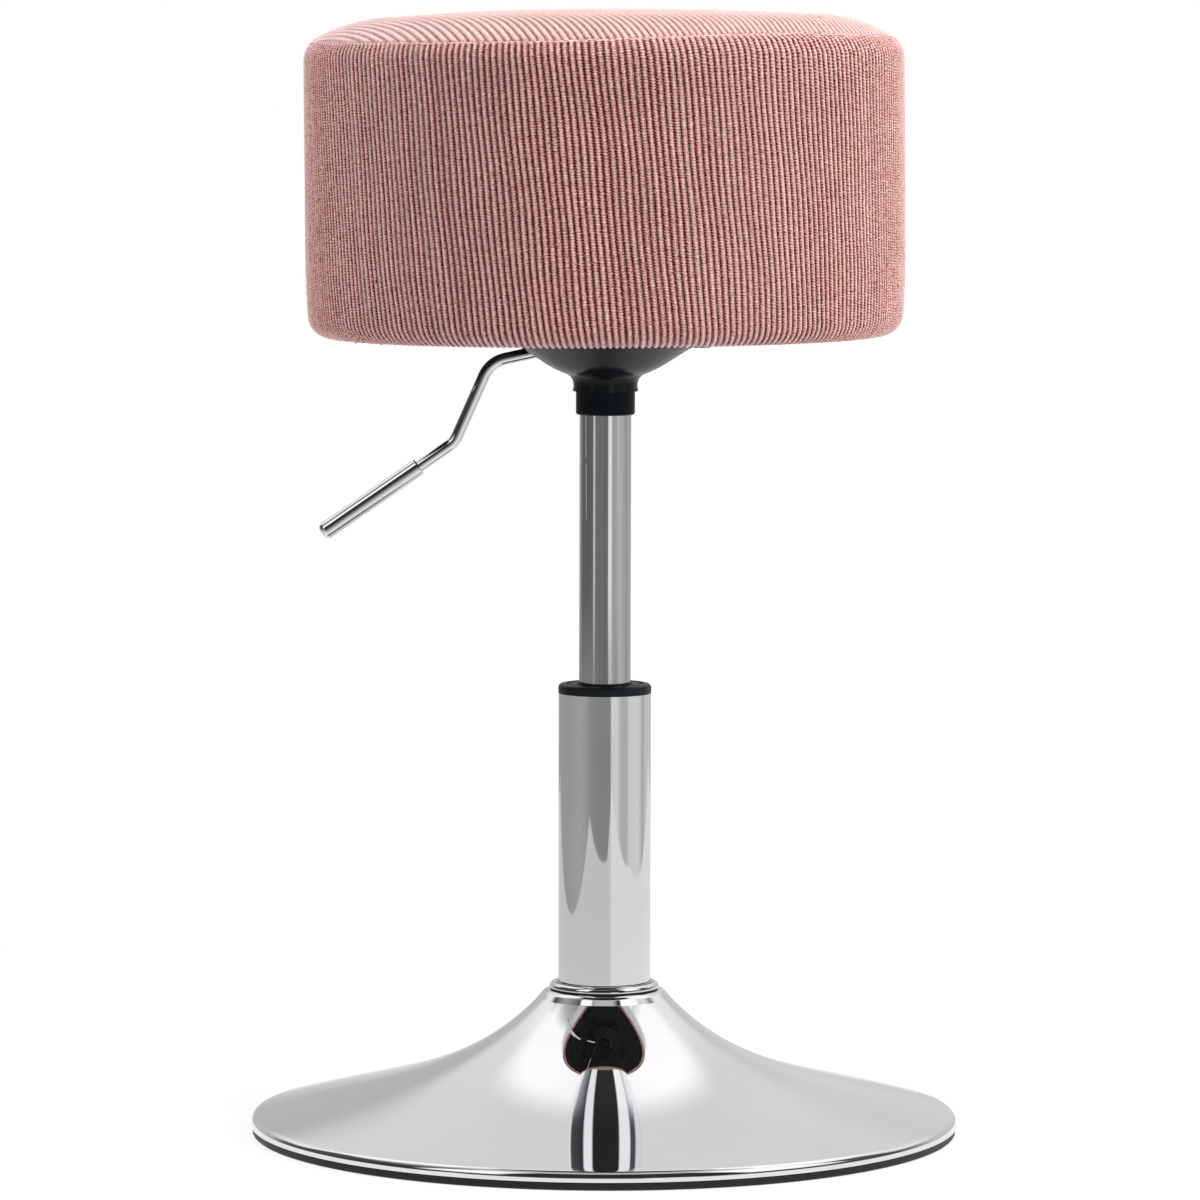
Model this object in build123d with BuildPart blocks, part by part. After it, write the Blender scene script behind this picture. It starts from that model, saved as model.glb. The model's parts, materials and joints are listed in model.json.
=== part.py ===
from build123d import *
import os
from math import asin, cos, degrees, radians, sin, sqrt, tan

# Bar stool: a round corduroy seat on a gas-lift column, with a chrome trumpet base and a bent height lever.
# Millimetres. The origin is on the floor at the middle of the base, +Z is up and the lever points along -X.
# The seat stands at the top of its travel and the lever is released.

os.makedirs("parts", exist_ok=True)

# Fits
press_gap = 0.05  # radial, between pieces that are fixed in each other
running_gap = 0.06  # radial, between pieces that turn or slide in each other
axial_play = 0.2  # between faces that pass or turn on each other
screw_gap = 0.3  # radial, round bolts and screws

# Trumpet base
base_radius = 192.5
shell_wall = 1.5
neck_height = 78.0  # top of the flat that the trim ring sits on
neck_flat_radius = 29.8
neck_bend = 5.2  # inside radius between the flat and the sweep
neck_slope = 50.8  # degrees, where the sweep leaves the neck
neck_pull = 54.5  # how far the sweep keeps that slope
rim_slope = 14.1  # degrees, where the sweep meets the rim
rim_pull = 65.3
rim_bend = 2.5  # inside radius of the rolled rim
rim_lip = 2.4  # straight lip below the roll
shell_hole_gap = 0.6  # radial, between the shell's hole and the tube

# Rubber ring under the rim
edge_ring_height = 3.8
edge_ring_inset = 0.9  # from the rim's outside
edge_ring_width = 7.1
edge_ring_flange = 3.4  # thickness of the flange inside the lip
edge_ring_chamfer = 0.6

# Column tube and its seat in the base
tube_radius = 25.0
tube_wall = 1.8
tube_foot = 14.0  # height of the tube's lower end
tube_length = 225.9
end_plate_height = 4.0
sleeve_wall = 3.0
brace_height = 44.0  # underside of the brace
brace_wall = 2.0

# Trim ring and gasket at the neck
gasket_height = 1.0
gasket_inset = 0.4
trim_gap = 0.3  # between the ring and the tube
trim_width = 4.4
trim_height = 3.4
trim_edge = 0.5  # straight outer edge
trim_lip = 1.3  # width of the inner lip
trim_groove = 0.5
trim_groove_depth = 0.8
trim_step = 0.3  # the shoulder starts this much below the lip

# Guide bush with its black flange
bush_length = 75.0  # below the flange
flange_height = 5.0
flange_overhang = 0.25
flange_round = 2.0
flange_groove_radius = 19.2
flange_groove = 1.6
flange_groove_depth = 0.5
wiper_width = 1.2
wiper_depth = 3.0
wiper_lip = 0.6

# Gas spring
gas_radius = 14.0
gas_wall = 1.5
cylinder_showing = 146.3  # between the bush and the hub
cylinder_engaged = 86.0  # below the bush's top
taper_narrowing = 0.65
cylinder_recess = 5.5  # the cylinder ends this much below the hub's top
guide_inset = 1.0
rod_guide_length = 12.0
rod_seal_length = 6.0
piston_rise = 4.0  # above the seal
piston_length = 8.0
piston_gap = 0.1
piston_ring_height = 2.0
piston_ring_depth = 1.6
rod_end = 2.0  # above the piston
rod_radius = 5.0
rod_foot_radius = 4.0
valve_length = 29.0
pin_radius = 3.0
pin_engaged = 19.0
pin_travel = 3.6
pin_crown = 0.8  # height of the domed end
pin_floor = 3.0  # spare depth below the pressed pin

# Thrust bearing, bumper and what holds the rod's foot
race_radius = 13.0
race_height = 2.5
race_bore_gap = 0.6
race_groove = 0.5
ball_radius = 2.5
ball_pitch = 9.3
ball_count = 9
ball_gap = 0.1
cage_height = 1.4
cage_width = 6.8
bumper_radius = 12.0
bumper_height = 6.0
rod_washer_radius = 9.0
rod_washer_height = 1.2
clip_radius = 7.0
clip_height = 1.0
clip_groove = 0.8  # depth in the rod
clip_opening = 4.0
rod_tail = 1.6  # below the clip

# Hub, cup and plate under the seat
hub_radius = 16.0
hub_length = 28.3
hub_chamfer = 0.8
hub_showing = 12.7  # below the bell
cup_wall = 2.0
cup_web_radius = 26.0
cup_height = 15.5  # from the hub's top to the plate
plate_side = 140.0
plate_corner = 12.0
plate_wall = 3.0
plate_hole_radius = 12.0
bolt_spacing = 100.0
bolt_radius = 3.0
bolt_length = 18.5
bolt_head_radius = 6.0
bolt_head_height = 3.8
washer_radius = 7.0
washer_height = 1.2

# Bell cover
bell_wall = 1.2
bell_gap = 0.2  # round the hub
bell_lip = 0.3
bell_lip_height = 1.5
bell_neck_height = 3.5
bell_flare = 6.3  # radius between the neck and the bowl
bell_bowl = 61.7  # radius of the bowl's round bottom
bell_slope = 32.3  # degrees, of the bowl's straight side
bell_flange = 7.0
notch_radius = 31.0  # inner end of the lever's notch
notch_width = 19.0
screw_count = 3
screw_radius = 1.75
screw_head_radius = 3.2
screw_head_height = 1.8
screw_length = 3.4

# Lever
lever_rise = 6.5  # its axis above the hub's top
lever_radius = 3.25
lever_overrun = 6.0  # inner end past the column's axis
pivot_reach = 25.0  # from the column's axis
pivot_radius = 2.0
pivot_head_radius = 3.2
pivot_head_height = 1.2
barrel_radius = 4.5
barrel_length = 10.0
ear_radius = 5.0
ear_wall = 2.0
ear_gap = 0.3
tail_run = 7.5  # from the pivot to the first bend
tail_bend = 20.0
neck_run = 29.9
neck_drop = 6.5
shoulder_bend = 16.5
shank_run = 19.2
shank_drop = 43.4
knee_bend = 14.5
handle_slope = 34.7  # degrees below level
handle_bare = 23.4  # rod showing before the grip
grip_radius = 4.75
grip_length = 60.9
grip_edge = 0.6
cap_height = 3.0
cap_round = 2.9
cap_spigot = 4.0
pin_clearance = 0.3  # between the released lever and the pin

# Seat
seat_radius = 162.0
fabric = 1.6
foam_gap = 0.2
board_inset = 18.0  # from the seat's side to the board's edge
board_height = 15.0
board_gap = 0.3  # between the board and the foam round it
roll_drop = 4.6  # the rolled bottom edge hangs this much below the board
roll_reach = 11.0
roll_rise = 11.0
side_draw = 1.2  # the side is drawn in this much above the roll
draw_height = 44.0
band_height = 159.5  # from the seat's bottom to the seam
corner_reach = 5.0
corner_rise = 10.5
crown_height = 16.5  # from the seam to the top
shoulder_reach = 39.0
dome_drop = 3.3
seam_gap = 0.3
hem_length = 33.0
hem_gap = 0.1  # between the hem and the cloth under it
hem_clear = 1.0  # the cloth is down at the hem's level this far before its edge
dust_cloth = 0.6
dust_step = 8.0
dust_lap = 28.0
staple_count = 28
staple_inset = 16.0  # from the hem's edge
staple_crown = 10.0
staple_width = 1.2
staple_wire = 0.6
staple_bite = 5.0  # depth in the board
nut_flange_radius = 9.5
nut_flange_height = 1.2
nut_barrel_radius = 4.2
nut_length = 12.0

# Heights and radii that follow from the sizes above
neck_corner = neck_bend + shell_wall
rim_roll = rim_bend + shell_wall
shell_hole = tube_radius + shell_hole_gap
roll_centre = edge_ring_height + rim_lip
tube_top = tube_foot + tube_length
tube_bore = tube_radius - tube_wall
sleeve_bore = tube_radius + press_gap
sleeve_radius = sleeve_bore + sleeve_wall
end_plate_top = tube_foot + end_plate_height
trim_bottom = neck_height + gasket_height
trim_top = trim_bottom + trim_height
trim_bore = tube_radius + trim_gap
trim_radius = trim_bore + trim_width
flange_top = tube_top + flange_height
hub_bottom = flange_top + cylinder_showing
hub_top = hub_bottom + hub_length
gas_bore = gas_radius - gas_wall
taper_radius = gas_radius - taper_narrowing
cylinder_bottom = flange_top - cylinder_engaged
cylinder_top = hub_top - cylinder_recess
ball_height = end_plate_top + race_height + ball_radius - race_groove
upper_race = ball_height + ball_radius - race_groove
rod_shoulder = upper_race + race_height
seal_bottom = cylinder_bottom + guide_inset + rod_guide_length
piston_bottom = seal_bottom + rod_seal_length + piston_rise
piston_radius = gas_bore - piston_gap
rod_top = piston_bottom + piston_length + rod_end
rod_washer_top = tube_foot - axial_play
clip_top = rod_washer_top - rod_washer_height
clip_bottom = clip_top - clip_height
clip_bore = rod_foot_radius - clip_groove
plate_bottom = hub_top + cup_height
plate_top = plate_bottom + plate_wall
board_radius = seat_radius - board_inset
board_bottom = plate_top + dust_cloth
board_top = board_bottom + board_height
bell_bottom = hub_bottom + hub_showing
bell_neck = hub_radius + bell_gap + bell_wall
bell_flange_bottom = plate_bottom - bell_wall
flare_height = bell_bottom + bell_neck_height
flare_reach = bell_neck + bell_flare
bowl_height = flare_height + sqrt((bell_bowl + bell_flare) ** 2 - flare_reach**2)
bell_run = 1 / tan(radians(bell_slope))


def bell_side(height, inset):
    """Radius of the bell's straight side at a height, inset from its outer face."""
    side_radius = (bell_bowl - inset) * sin(radians(bell_slope))
    side_height = bowl_height - (bell_bowl - inset) * cos(radians(bell_slope))
    return side_radius + (height - side_height) * bell_run


bell_radius = bell_side(bell_flange_bottom, 0) + bell_flange
screw_circle = bell_radius - bell_flange / 2
lever_height = hub_top + lever_rise
ear_inside = barrel_length / 2 + ear_gap
ear_outside = ear_inside + ear_wall
seat_bottom = board_bottom - roll_drop
seam_height = seat_bottom + band_height
seam_radius = seat_radius - corner_reach
seat_top = seam_height + crown_height
roll_radius = seat_radius - roll_reach
hem_radius = roll_radius - hem_length
hem_height = board_bottom - fabric
hem_slope = (hem_height - seat_bottom) / hem_length


def ring(inner, outer, low, high):
    """A plain ring between two heights."""
    with BuildSketch(Plane.XY.offset(low)) as section:
        Circle(outer)
        Circle(inner, mode=Mode.SUBTRACT)
    extrude(section.sketch, amount=high - low)


def turned(*corners):
    """A solid turned about the column's axis from a section of straight sides, as (radius, height)."""
    with BuildSketch(Plane.XZ) as section:
        with BuildLine():
            Polyline(*corners, close=True)
        make_face()
    revolve(section.sketch, axis=Axis.Z)


def flare(inset):
    """The shell's neck flat, sweep, rolled rim and lip, inset from its outer face."""
    neck_turn = radians(neck_slope)
    rim_turn = radians(rim_slope)
    corner = Vector(neck_flat_radius, neck_height - neck_corner)
    roll = Vector(base_radius - rim_roll, roll_centre)
    start = corner + Vector(sin(neck_turn), cos(neck_turn)) * (neck_corner - inset)
    end = roll + Vector(sin(rim_turn), cos(rim_turn)) * (rim_roll - inset)
    leave = Vector(cos(neck_turn), -sin(neck_turn)) * (neck_pull + inset / 2)
    arrive = Vector(cos(rim_turn), -sin(rim_turn)) * (rim_pull + inset / 2)
    Line((shell_hole, neck_height - inset), (neck_flat_radius, neck_height - inset))
    CenterArc(corner, neck_corner - inset, 90 - neck_slope, neck_slope)
    Bezier(start, start + leave, end - arrive, end)
    CenterArc(roll, rim_roll - inset, 0, 90 - rim_slope)
    Line((base_radius - inset, roll_centre), (base_radius - inset, edge_ring_height))


def bell_line(inset):
    """The bell's neck, flare, round bowl, straight side and flange, inset from its outer face."""
    flare_slope = degrees(asin(flare_reach / (bell_bowl + bell_flare)))
    slope_turn = radians(bell_slope)
    bowl = bell_bowl - inset
    side_foot = (bowl * sin(slope_turn), bowl_height - bowl * cos(slope_turn))
    side_head = (bell_side(bell_flange_bottom + inset, inset), bell_flange_bottom + inset)
    Line((bell_neck - inset, bell_bottom), (bell_neck - inset, flare_height))
    CenterArc((flare_reach, flare_height), bell_flare + inset, 90 + flare_slope, 90 - flare_slope)
    CenterArc((0, bowl_height), bowl, flare_slope - 90, bell_slope - flare_slope)
    Polyline(side_foot, side_head, (bell_radius, bell_flange_bottom + inset))


def band_line():
    """The seat's side from the rolled bottom edge up to the seam, outside of the fabric."""
    drawn_in = (seat_radius - side_draw, seat_bottom + roll_rise)
    side_foot = (seat_radius, seat_bottom + draw_height)
    side_head = (seat_radius, seam_height - corner_rise)
    draw = TangentArc(side_foot, drawn_in, tangent=(0, -1))
    TangentArc(drawn_in, (roll_radius, seat_bottom), tangent=draw % 1)
    Line(side_foot, side_head)
    TangentArc(side_head, (seam_radius, seam_height), tangent=(0, 1))


def crown_line(edge):
    """The seat's top from its middle out to the given point at the seam, outside of the fabric."""
    dome_edge = (seam_radius - shoulder_reach, seat_top - dome_drop)
    dome = TangentArc((0, seat_top), dome_edge, tangent=(1, 0))
    TangentArc(dome_edge, edge, tangent=dome % 1)


# Base: chrome shell pressed from sheet, open below
with BuildPart() as base_shell:
    with BuildSketch(Plane.XZ):
        with BuildLine():
            flare(0)
            flare(shell_wall)
            Line((shell_hole, neck_height), (shell_hole, neck_height - shell_wall))
            Line((base_radius, edge_ring_height), (base_radius - shell_wall, edge_ring_height))
        make_face()
    revolve(axis=Axis.Z)
base_shell.part.label = "base_shell"
export_step(base_shell.part, "parts/base_shell.step")

# Base: rubber ring with a foot under the shell's lip and a flange inside it
with BuildPart() as base_edge_ring:
    foot_outside = base_radius - edge_ring_inset
    foot_inside = foot_outside - edge_ring_width
    flange_outside = base_radius - shell_wall - press_gap
    flange_inside = flange_outside - edge_ring_flange
    flange_end = roll_centre - axial_play
    turned(
        (foot_inside, 0),
        (foot_outside - edge_ring_chamfer, 0),
        (foot_outside, edge_ring_chamfer),
        (foot_outside, edge_ring_height),
        (flange_outside, edge_ring_height),
        (flange_outside, flange_end),
        (flange_inside, flange_end),
        (flange_inside, edge_ring_height),
        (foot_inside, edge_ring_height),
    )
base_edge_ring.part.label = "base_edge_ring"
export_step(base_edge_ring.part, "parts/base_edge_ring.step")

# Base: socket welded under the neck, which holds the column tube
with BuildPart() as base_hub_sleeve:
    ring(sleeve_bore, sleeve_radius, tube_foot, neck_height - shell_wall)
base_hub_sleeve.part.label = "base_hub_sleeve"
export_step(base_hub_sleeve.part, "parts/base_hub_sleeve.step")

# Base: disc between the socket and the shell, cut to the shell's inside
with BuildPart() as base_brace_plate:
    inside = shell_wall + press_gap
    with BuildSketch(Plane.XZ):
        with BuildLine():
            flare(inside)
            Polyline(
                (base_radius - inside, edge_ring_height),
                (0, edge_ring_height),
                (0, neck_height - inside),
                (shell_hole, neck_height - inside),
            )
        make_face()
    revolve(axis=Axis.Z)
    with BuildSketch(Plane.XY.offset(brace_height)):
        Circle(base_radius)
        Circle(sleeve_radius + press_gap, mode=Mode.SUBTRACT)
    extrude(amount=brace_wall, mode=Mode.INTERSECT)
base_brace_plate.part.label = "base_brace_plate"
export_step(base_brace_plate.part, "parts/base_brace_plate.step")

# Base: gasket between the neck and the trim ring
with BuildPart() as trim_ring_gasket:
    ring(tube_radius + press_gap, trim_radius - gasket_inset, neck_height, trim_bottom)
trim_ring_gasket.part.label = "trim_ring_gasket"
export_step(trim_ring_gasket.part, "parts/trim_ring_gasket.step")

# Base: chrome trim ring, with a lip round the tube, a groove and a rounded shoulder
with BuildPart() as base_trim_ring:
    groove_inside = trim_bore + trim_lip
    groove_outside = groove_inside + trim_groove
    shoulder_top = trim_top - trim_step
    with BuildSketch(Plane.XZ):
        with BuildLine():
            TangentArc((trim_radius, trim_bottom + trim_edge), (groove_outside, shoulder_top), tangent=(0, 1))
            Polyline(
                (groove_outside, shoulder_top),
                (groove_outside, trim_top - trim_groove_depth),
                (groove_inside, trim_top - trim_groove_depth),
                (groove_inside, trim_top),
                (trim_bore, trim_top),
                (trim_bore, trim_bottom),
                (trim_radius, trim_bottom),
                (trim_radius, trim_bottom + trim_edge),
            )
        make_face()
    revolve(axis=Axis.Z)
base_trim_ring.part.label = "base_trim_ring"
export_step(base_trim_ring.part, "parts/base_trim_ring.step")

# Column: chrome tube
with BuildPart() as outer_tube:
    ring(tube_bore, tube_radius, tube_foot, tube_top)
outer_tube.part.label = "outer_tube"
export_step(outer_tube.part, "parts/outer_tube.step")

# Column: plate in the tube's foot, which carries the bearing and the rod
with BuildPart() as tube_end_plate:
    ring(rod_foot_radius + running_gap, tube_bore - press_gap, tube_foot, end_plate_top)
tube_end_plate.part.label = "tube_end_plate"
export_step(tube_end_plate.part, "parts/tube_end_plate.step")

# Column: plastic bush that guides the cylinder, with the black flange on the tube's end
with BuildPart() as guide_bush:
    bush_bore = gas_radius + running_gap
    bush_outside = tube_bore - press_gap
    bush_flange = tube_radius + flange_overhang
    wiper_seat = bush_bore + wiper_width
    bush_groove = flange_groove_radius + flange_groove
    groove_floor = flange_top - flange_groove_depth
    with BuildSketch(Plane.XZ):
        with BuildLine():
            CenterArc((bush_flange - flange_round, flange_top - flange_round), flange_round, 0, 90)
            Polyline(
                (bush_flange - flange_round, flange_top),
                (bush_groove, flange_top),
                (bush_groove, groove_floor),
                (flange_groove_radius, groove_floor),
                (flange_groove_radius, flange_top),
                (wiper_seat, flange_top),
                (wiper_seat, flange_top - wiper_depth),
                (bush_bore, flange_top - wiper_depth),
                (bush_bore, tube_top - bush_length),
                (bush_outside, tube_top - bush_length),
                (bush_outside, tube_top),
                (bush_flange, tube_top),
                (bush_flange, flange_top - flange_round),
            )
        make_face()
    revolve(axis=Axis.Z)
guide_bush.part.label = "guide_bush"
export_step(guide_bush.part, "parts/guide_bush.step")

# Column: wiper round the cylinder, in the bush's top
with BuildPart() as wiper_ring:
    ring(bush_bore, wiper_seat - press_gap, flange_top - wiper_depth, flange_top + wiper_lip)
wiper_ring.part.label = "wiper_ring"
export_step(wiper_ring.part, "parts/wiper_ring.step")

# Swivel bearing: lower race on the end plate
with BuildPart() as bearing_lower_race:
    ring(rod_foot_radius + race_bore_gap, race_radius, end_plate_top, end_plate_top + race_height)
    with Locations((0, 0, ball_height)):
        Torus(ball_pitch, ball_radius + ball_gap, mode=Mode.SUBTRACT)
bearing_lower_race.part.label = "bearing_lower_race"
export_step(bearing_lower_race.part, "parts/bearing_lower_race.step")

# Swivel bearing: balls
with BuildPart(Plane.XY.offset(ball_height)) as bearing_balls:
    with PolarLocations(ball_pitch, ball_count):
        Sphere(ball_radius)
bearing_balls.part.label = "bearing_balls"
export_step(bearing_balls.part, "parts/bearing_balls.step")

# Swivel bearing: cage that spaces the balls
with BuildPart() as bearing_cage:
    with BuildSketch(Plane.XY.offset(ball_height - cage_height / 2)):
        Circle(ball_pitch + cage_width / 2)
        Circle(ball_pitch - cage_width / 2, mode=Mode.SUBTRACT)
        with PolarLocations(ball_pitch, ball_count):
            Circle(ball_radius + ball_gap, mode=Mode.SUBTRACT)
    extrude(amount=cage_height)
bearing_cage.part.label = "bearing_cage"
export_step(bearing_cage.part, "parts/bearing_cage.step")

# Swivel bearing: upper race under the rod's shoulder
with BuildPart() as bearing_upper_race:
    ring(rod_foot_radius + press_gap, race_radius, upper_race, rod_shoulder)
    with Locations((0, 0, ball_height)):
        Torus(ball_pitch, ball_radius + ball_gap, mode=Mode.SUBTRACT)
bearing_upper_race.part.label = "bearing_upper_race"
export_step(bearing_upper_race.part, "parts/bearing_upper_race.step")

# Gas spring: rubber stop at the bottom of the stroke
with BuildPart() as rod_bumper:
    ring(rod_radius + press_gap, bumper_radius, rod_shoulder, rod_shoulder + bumper_height)
rod_bumper.part.label = "rod_bumper"
export_step(rod_bumper.part, "parts/rod_bumper.step")

# Gas spring: rod, with a thinner foot and a groove for the clip
with BuildPart() as piston_rod:
    turned(
        (0, clip_bottom - rod_tail),
        (rod_foot_radius, clip_bottom - rod_tail),
        (rod_foot_radius, clip_bottom),
        (clip_bore, clip_bottom),
        (clip_bore, clip_top),
        (rod_foot_radius, clip_top),
        (rod_foot_radius, rod_shoulder),
        (rod_radius, rod_shoulder),
        (rod_radius, rod_top),
        (0, rod_top),
    )
piston_rod.part.label = "piston_rod"
export_step(piston_rod.part, "parts/piston_rod.step")

# Gas spring: piston, grooved for its ring
with BuildPart() as piston:
    ring_bottom = piston_bottom + (piston_length - piston_ring_height) / 2
    ring(rod_radius + press_gap, piston_radius, piston_bottom, piston_bottom + piston_length)
    with BuildSketch(Plane.XY.offset(ring_bottom)):
        Circle(gas_radius)
        Circle(piston_radius - piston_ring_depth, mode=Mode.SUBTRACT)
    extrude(amount=piston_ring_height, mode=Mode.SUBTRACT)
piston.part.label = "piston"
export_step(piston.part, "parts/piston.step")

# Gas spring: piston ring
with BuildPart() as piston_ring:
    ring_bore = piston_radius - piston_ring_depth + press_gap
    ring(ring_bore, gas_bore - running_gap, ring_bottom, ring_bottom + piston_ring_height)
piston_ring.part.label = "piston_ring"
export_step(piston_ring.part, "parts/piston_ring.step")

# Gas spring: washer and clip that hold the rod's foot under the end plate
with BuildPart() as rod_washer:
    ring(rod_foot_radius + press_gap, rod_washer_radius, clip_top, rod_washer_top)
rod_washer.part.label = "rod_washer"
export_step(rod_washer.part, "parts/rod_washer.step")

with BuildPart() as rod_clip:
    with BuildSketch(Plane.XY.offset(clip_bottom)):
        Circle(clip_radius)
        Circle(clip_bore + press_gap, mode=Mode.SUBTRACT)
        Rectangle(clip_radius, clip_opening, align=(Align.MIN, Align.CENTER), mode=Mode.SUBTRACT)
    extrude(amount=clip_height)
rod_clip.part.label = "rod_clip"
export_step(rod_clip.part, "parts/rod_clip.step")

# Gas spring: chrome cylinder, tapered where it sits in the hub
with BuildPart() as gas_cylinder:
    turned(
        (gas_bore, cylinder_bottom),
        (gas_radius, cylinder_bottom),
        (gas_radius, hub_bottom),
        (taper_radius, cylinder_top),
        (gas_bore, cylinder_top),
    )
gas_cylinder.part.label = "gas_cylinder"
export_step(gas_cylinder.part, "parts/gas_cylinder.step")

# Gas spring: guide and seal round the rod, in the cylinder's foot
with BuildPart() as rod_guide:
    ring(rod_radius + running_gap, gas_bore - press_gap, cylinder_bottom + guide_inset, seal_bottom)
rod_guide.part.label = "rod_guide"
export_step(rod_guide.part, "parts/rod_guide.step")

with BuildPart() as rod_seal:
    ring(rod_radius + running_gap, gas_bore - press_gap, seal_bottom, seal_bottom + rod_seal_length)
rod_seal.part.label = "rod_seal"
export_step(rod_seal.part, "parts/rod_seal.step")

# Gas spring: valve block in the cylinder's head, bored for the pin
with BuildPart() as valve_block:
    with BuildSketch(Plane.XY.offset(cylinder_top - valve_length)):
        Circle(gas_bore - press_gap)
    extrude(amount=valve_length)
    with BuildSketch(Plane.XY.offset(cylinder_top)):
        Circle(pin_radius + running_gap)
    extrude(amount=-(pin_engaged + pin_travel + pin_floor), mode=Mode.SUBTRACT)
valve_block.part.label = "valve_block"
export_step(valve_block.part, "parts/valve_block.step")

# Gas spring: pin that the lever presses, with a domed end
with BuildPart() as release_pin:
    pin_top = lever_height - lever_radius - pin_clearance
    pin_bottom = cylinder_top - pin_engaged
    with BuildSketch(Plane.XZ):
        with BuildLine():
            TangentArc((0, pin_top), (pin_radius, pin_top - pin_crown), tangent=(1, 0))
            Polyline(
                (pin_radius, pin_top - pin_crown),
                (pin_radius, pin_bottom),
                (0, pin_bottom),
                (0, pin_top),
            )
        make_face()
    revolve(axis=Axis.Z)
release_pin.part.label = "release_pin"
export_step(release_pin.part, "parts/release_pin.step")

# Under the seat: black hub tube, bored to the cylinder's taper
with BuildPart() as seat_hub:
    turned(
        (gas_radius + press_gap, hub_bottom),
        (hub_radius - hub_chamfer, hub_bottom),
        (hub_radius, hub_bottom + hub_chamfer),
        (hub_radius, hub_top),
        (taper_radius + press_gap, hub_top),
        (taper_radius + press_gap, cylinder_top),
    )
seat_hub.part.label = "seat_hub"
export_step(seat_hub.part, "parts/seat_hub.step")

# Under the seat: bell cover, a thin bowl with a neck round the hub, a flange and a notch for the lever
with BuildPart() as bell_cover:
    with BuildSketch(Plane.XZ):
        with BuildLine():
            bell_line(0)
            bell_line(bell_wall)
            Line((bell_neck, bell_bottom), (bell_neck - bell_wall, bell_bottom))
            Line((bell_radius, bell_flange_bottom), (bell_radius, plate_bottom))
        make_face()
    revolve(axis=Axis.Z)
    ring(bell_neck - bell_wall, bell_neck + bell_lip, bell_bottom, bell_bottom + bell_lip_height)
    with BuildSketch(Plane.XY.offset(hub_bottom)):
        with Locations((-notch_radius - notch_width / 2, 0)):
            Circle(notch_width / 2)
            Rectangle(bell_radius, notch_width, align=(Align.MAX, Align.CENTER))
        with PolarLocations(screw_circle, screw_count):
            Circle(screw_radius + screw_gap)
    extrude(amount=plate_top - hub_bottom, mode=Mode.SUBTRACT)
bell_cover.part.label = "bell_cover"
export_step(bell_cover.part, "parts/bell_cover.step")

# Under the seat: pressed cup that joins the hub to the plate, slotted for the lever and its bracket
with BuildPart() as hub_cup:
    cup_bottom = hub_top - cup_wall
    cup_top_radius = cup_web_radius + (plate_bottom - cup_bottom) * bell_run
    wall_across = cup_wall / sin(radians(bell_slope))
    turned(
        (hub_radius + press_gap, cup_bottom),
        (cup_web_radius, cup_bottom),
        (cup_top_radius, plate_bottom),
        (cup_top_radius - wall_across, plate_bottom),
        (cup_web_radius + cup_wall * bell_run - wall_across, hub_top),
        (hub_radius + press_gap, hub_top),
    )
    with BuildSketch(Plane.XY.offset(hub_top)):
        with Locations((-hub_radius, 0)):
            Rectangle(cup_top_radius, 2 * (ear_outside + ear_gap), align=(Align.MAX, Align.CENTER))
    extrude(amount=cup_height, mode=Mode.SUBTRACT)
hub_cup.part.label = "hub_cup"
export_step(hub_cup.part, "parts/hub_cup.step")

# Under the seat: square plate
with BuildPart() as seat_plate:
    with BuildSketch(Plane.XY.offset(plate_bottom)):
        RectangleRounded(plate_side, plate_side, plate_corner)
        Circle(plate_hole_radius, mode=Mode.SUBTRACT)
        with GridLocations(bolt_spacing, bolt_spacing, 2, 2):
            Circle(bolt_radius + screw_gap, mode=Mode.SUBTRACT)
        with PolarLocations(screw_circle, screw_count):
            Circle(screw_radius + press_gap, mode=Mode.SUBTRACT)
    extrude(amount=plate_wall)
seat_plate.part.label = "seat_plate"
export_step(seat_plate.part, "parts/seat_plate.step")

# Under the seat: screws through the bell's flange into the plate
with BuildPart() as bell_screws:
    with BuildSketch(Plane.XY.offset(bell_flange_bottom - screw_head_height)):
        with PolarLocations(screw_circle, screw_count):
            Circle(screw_head_radius)
    extrude(amount=screw_head_height)
    with BuildSketch(Plane.XY.offset(bell_flange_bottom)):
        with PolarLocations(screw_circle, screw_count):
            Circle(screw_radius)
    extrude(amount=screw_length)
bell_screws.part.label = "bell_screws"
export_step(bell_screws.part, "parts/bell_screws.step")

# Under the seat: bolts, washers and tee nuts that hold the plate to the board
with BuildPart() as plate_washers:
    with BuildSketch(Plane.XY.offset(plate_bottom - washer_height)):
        with GridLocations(bolt_spacing, bolt_spacing, 2, 2):
            Circle(washer_radius)
            Circle(bolt_radius + screw_gap, mode=Mode.SUBTRACT)
    extrude(amount=washer_height)
plate_washers.part.label = "plate_washers"
export_step(plate_washers.part, "parts/plate_washers.step")

with BuildPart() as plate_bolts:
    head_top = plate_bottom - washer_height
    with BuildSketch(Plane.XY.offset(head_top - bolt_head_height)):
        with GridLocations(bolt_spacing, bolt_spacing, 2, 2):
            RegularPolygon(bolt_head_radius, 6)
    extrude(amount=bolt_head_height)
    with BuildSketch(Plane.XY.offset(head_top)):
        with GridLocations(bolt_spacing, bolt_spacing, 2, 2):
            Circle(bolt_radius)
    extrude(amount=bolt_length)
plate_bolts.part.label = "plate_bolts"
export_step(plate_bolts.part, "parts/plate_bolts.step")

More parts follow.
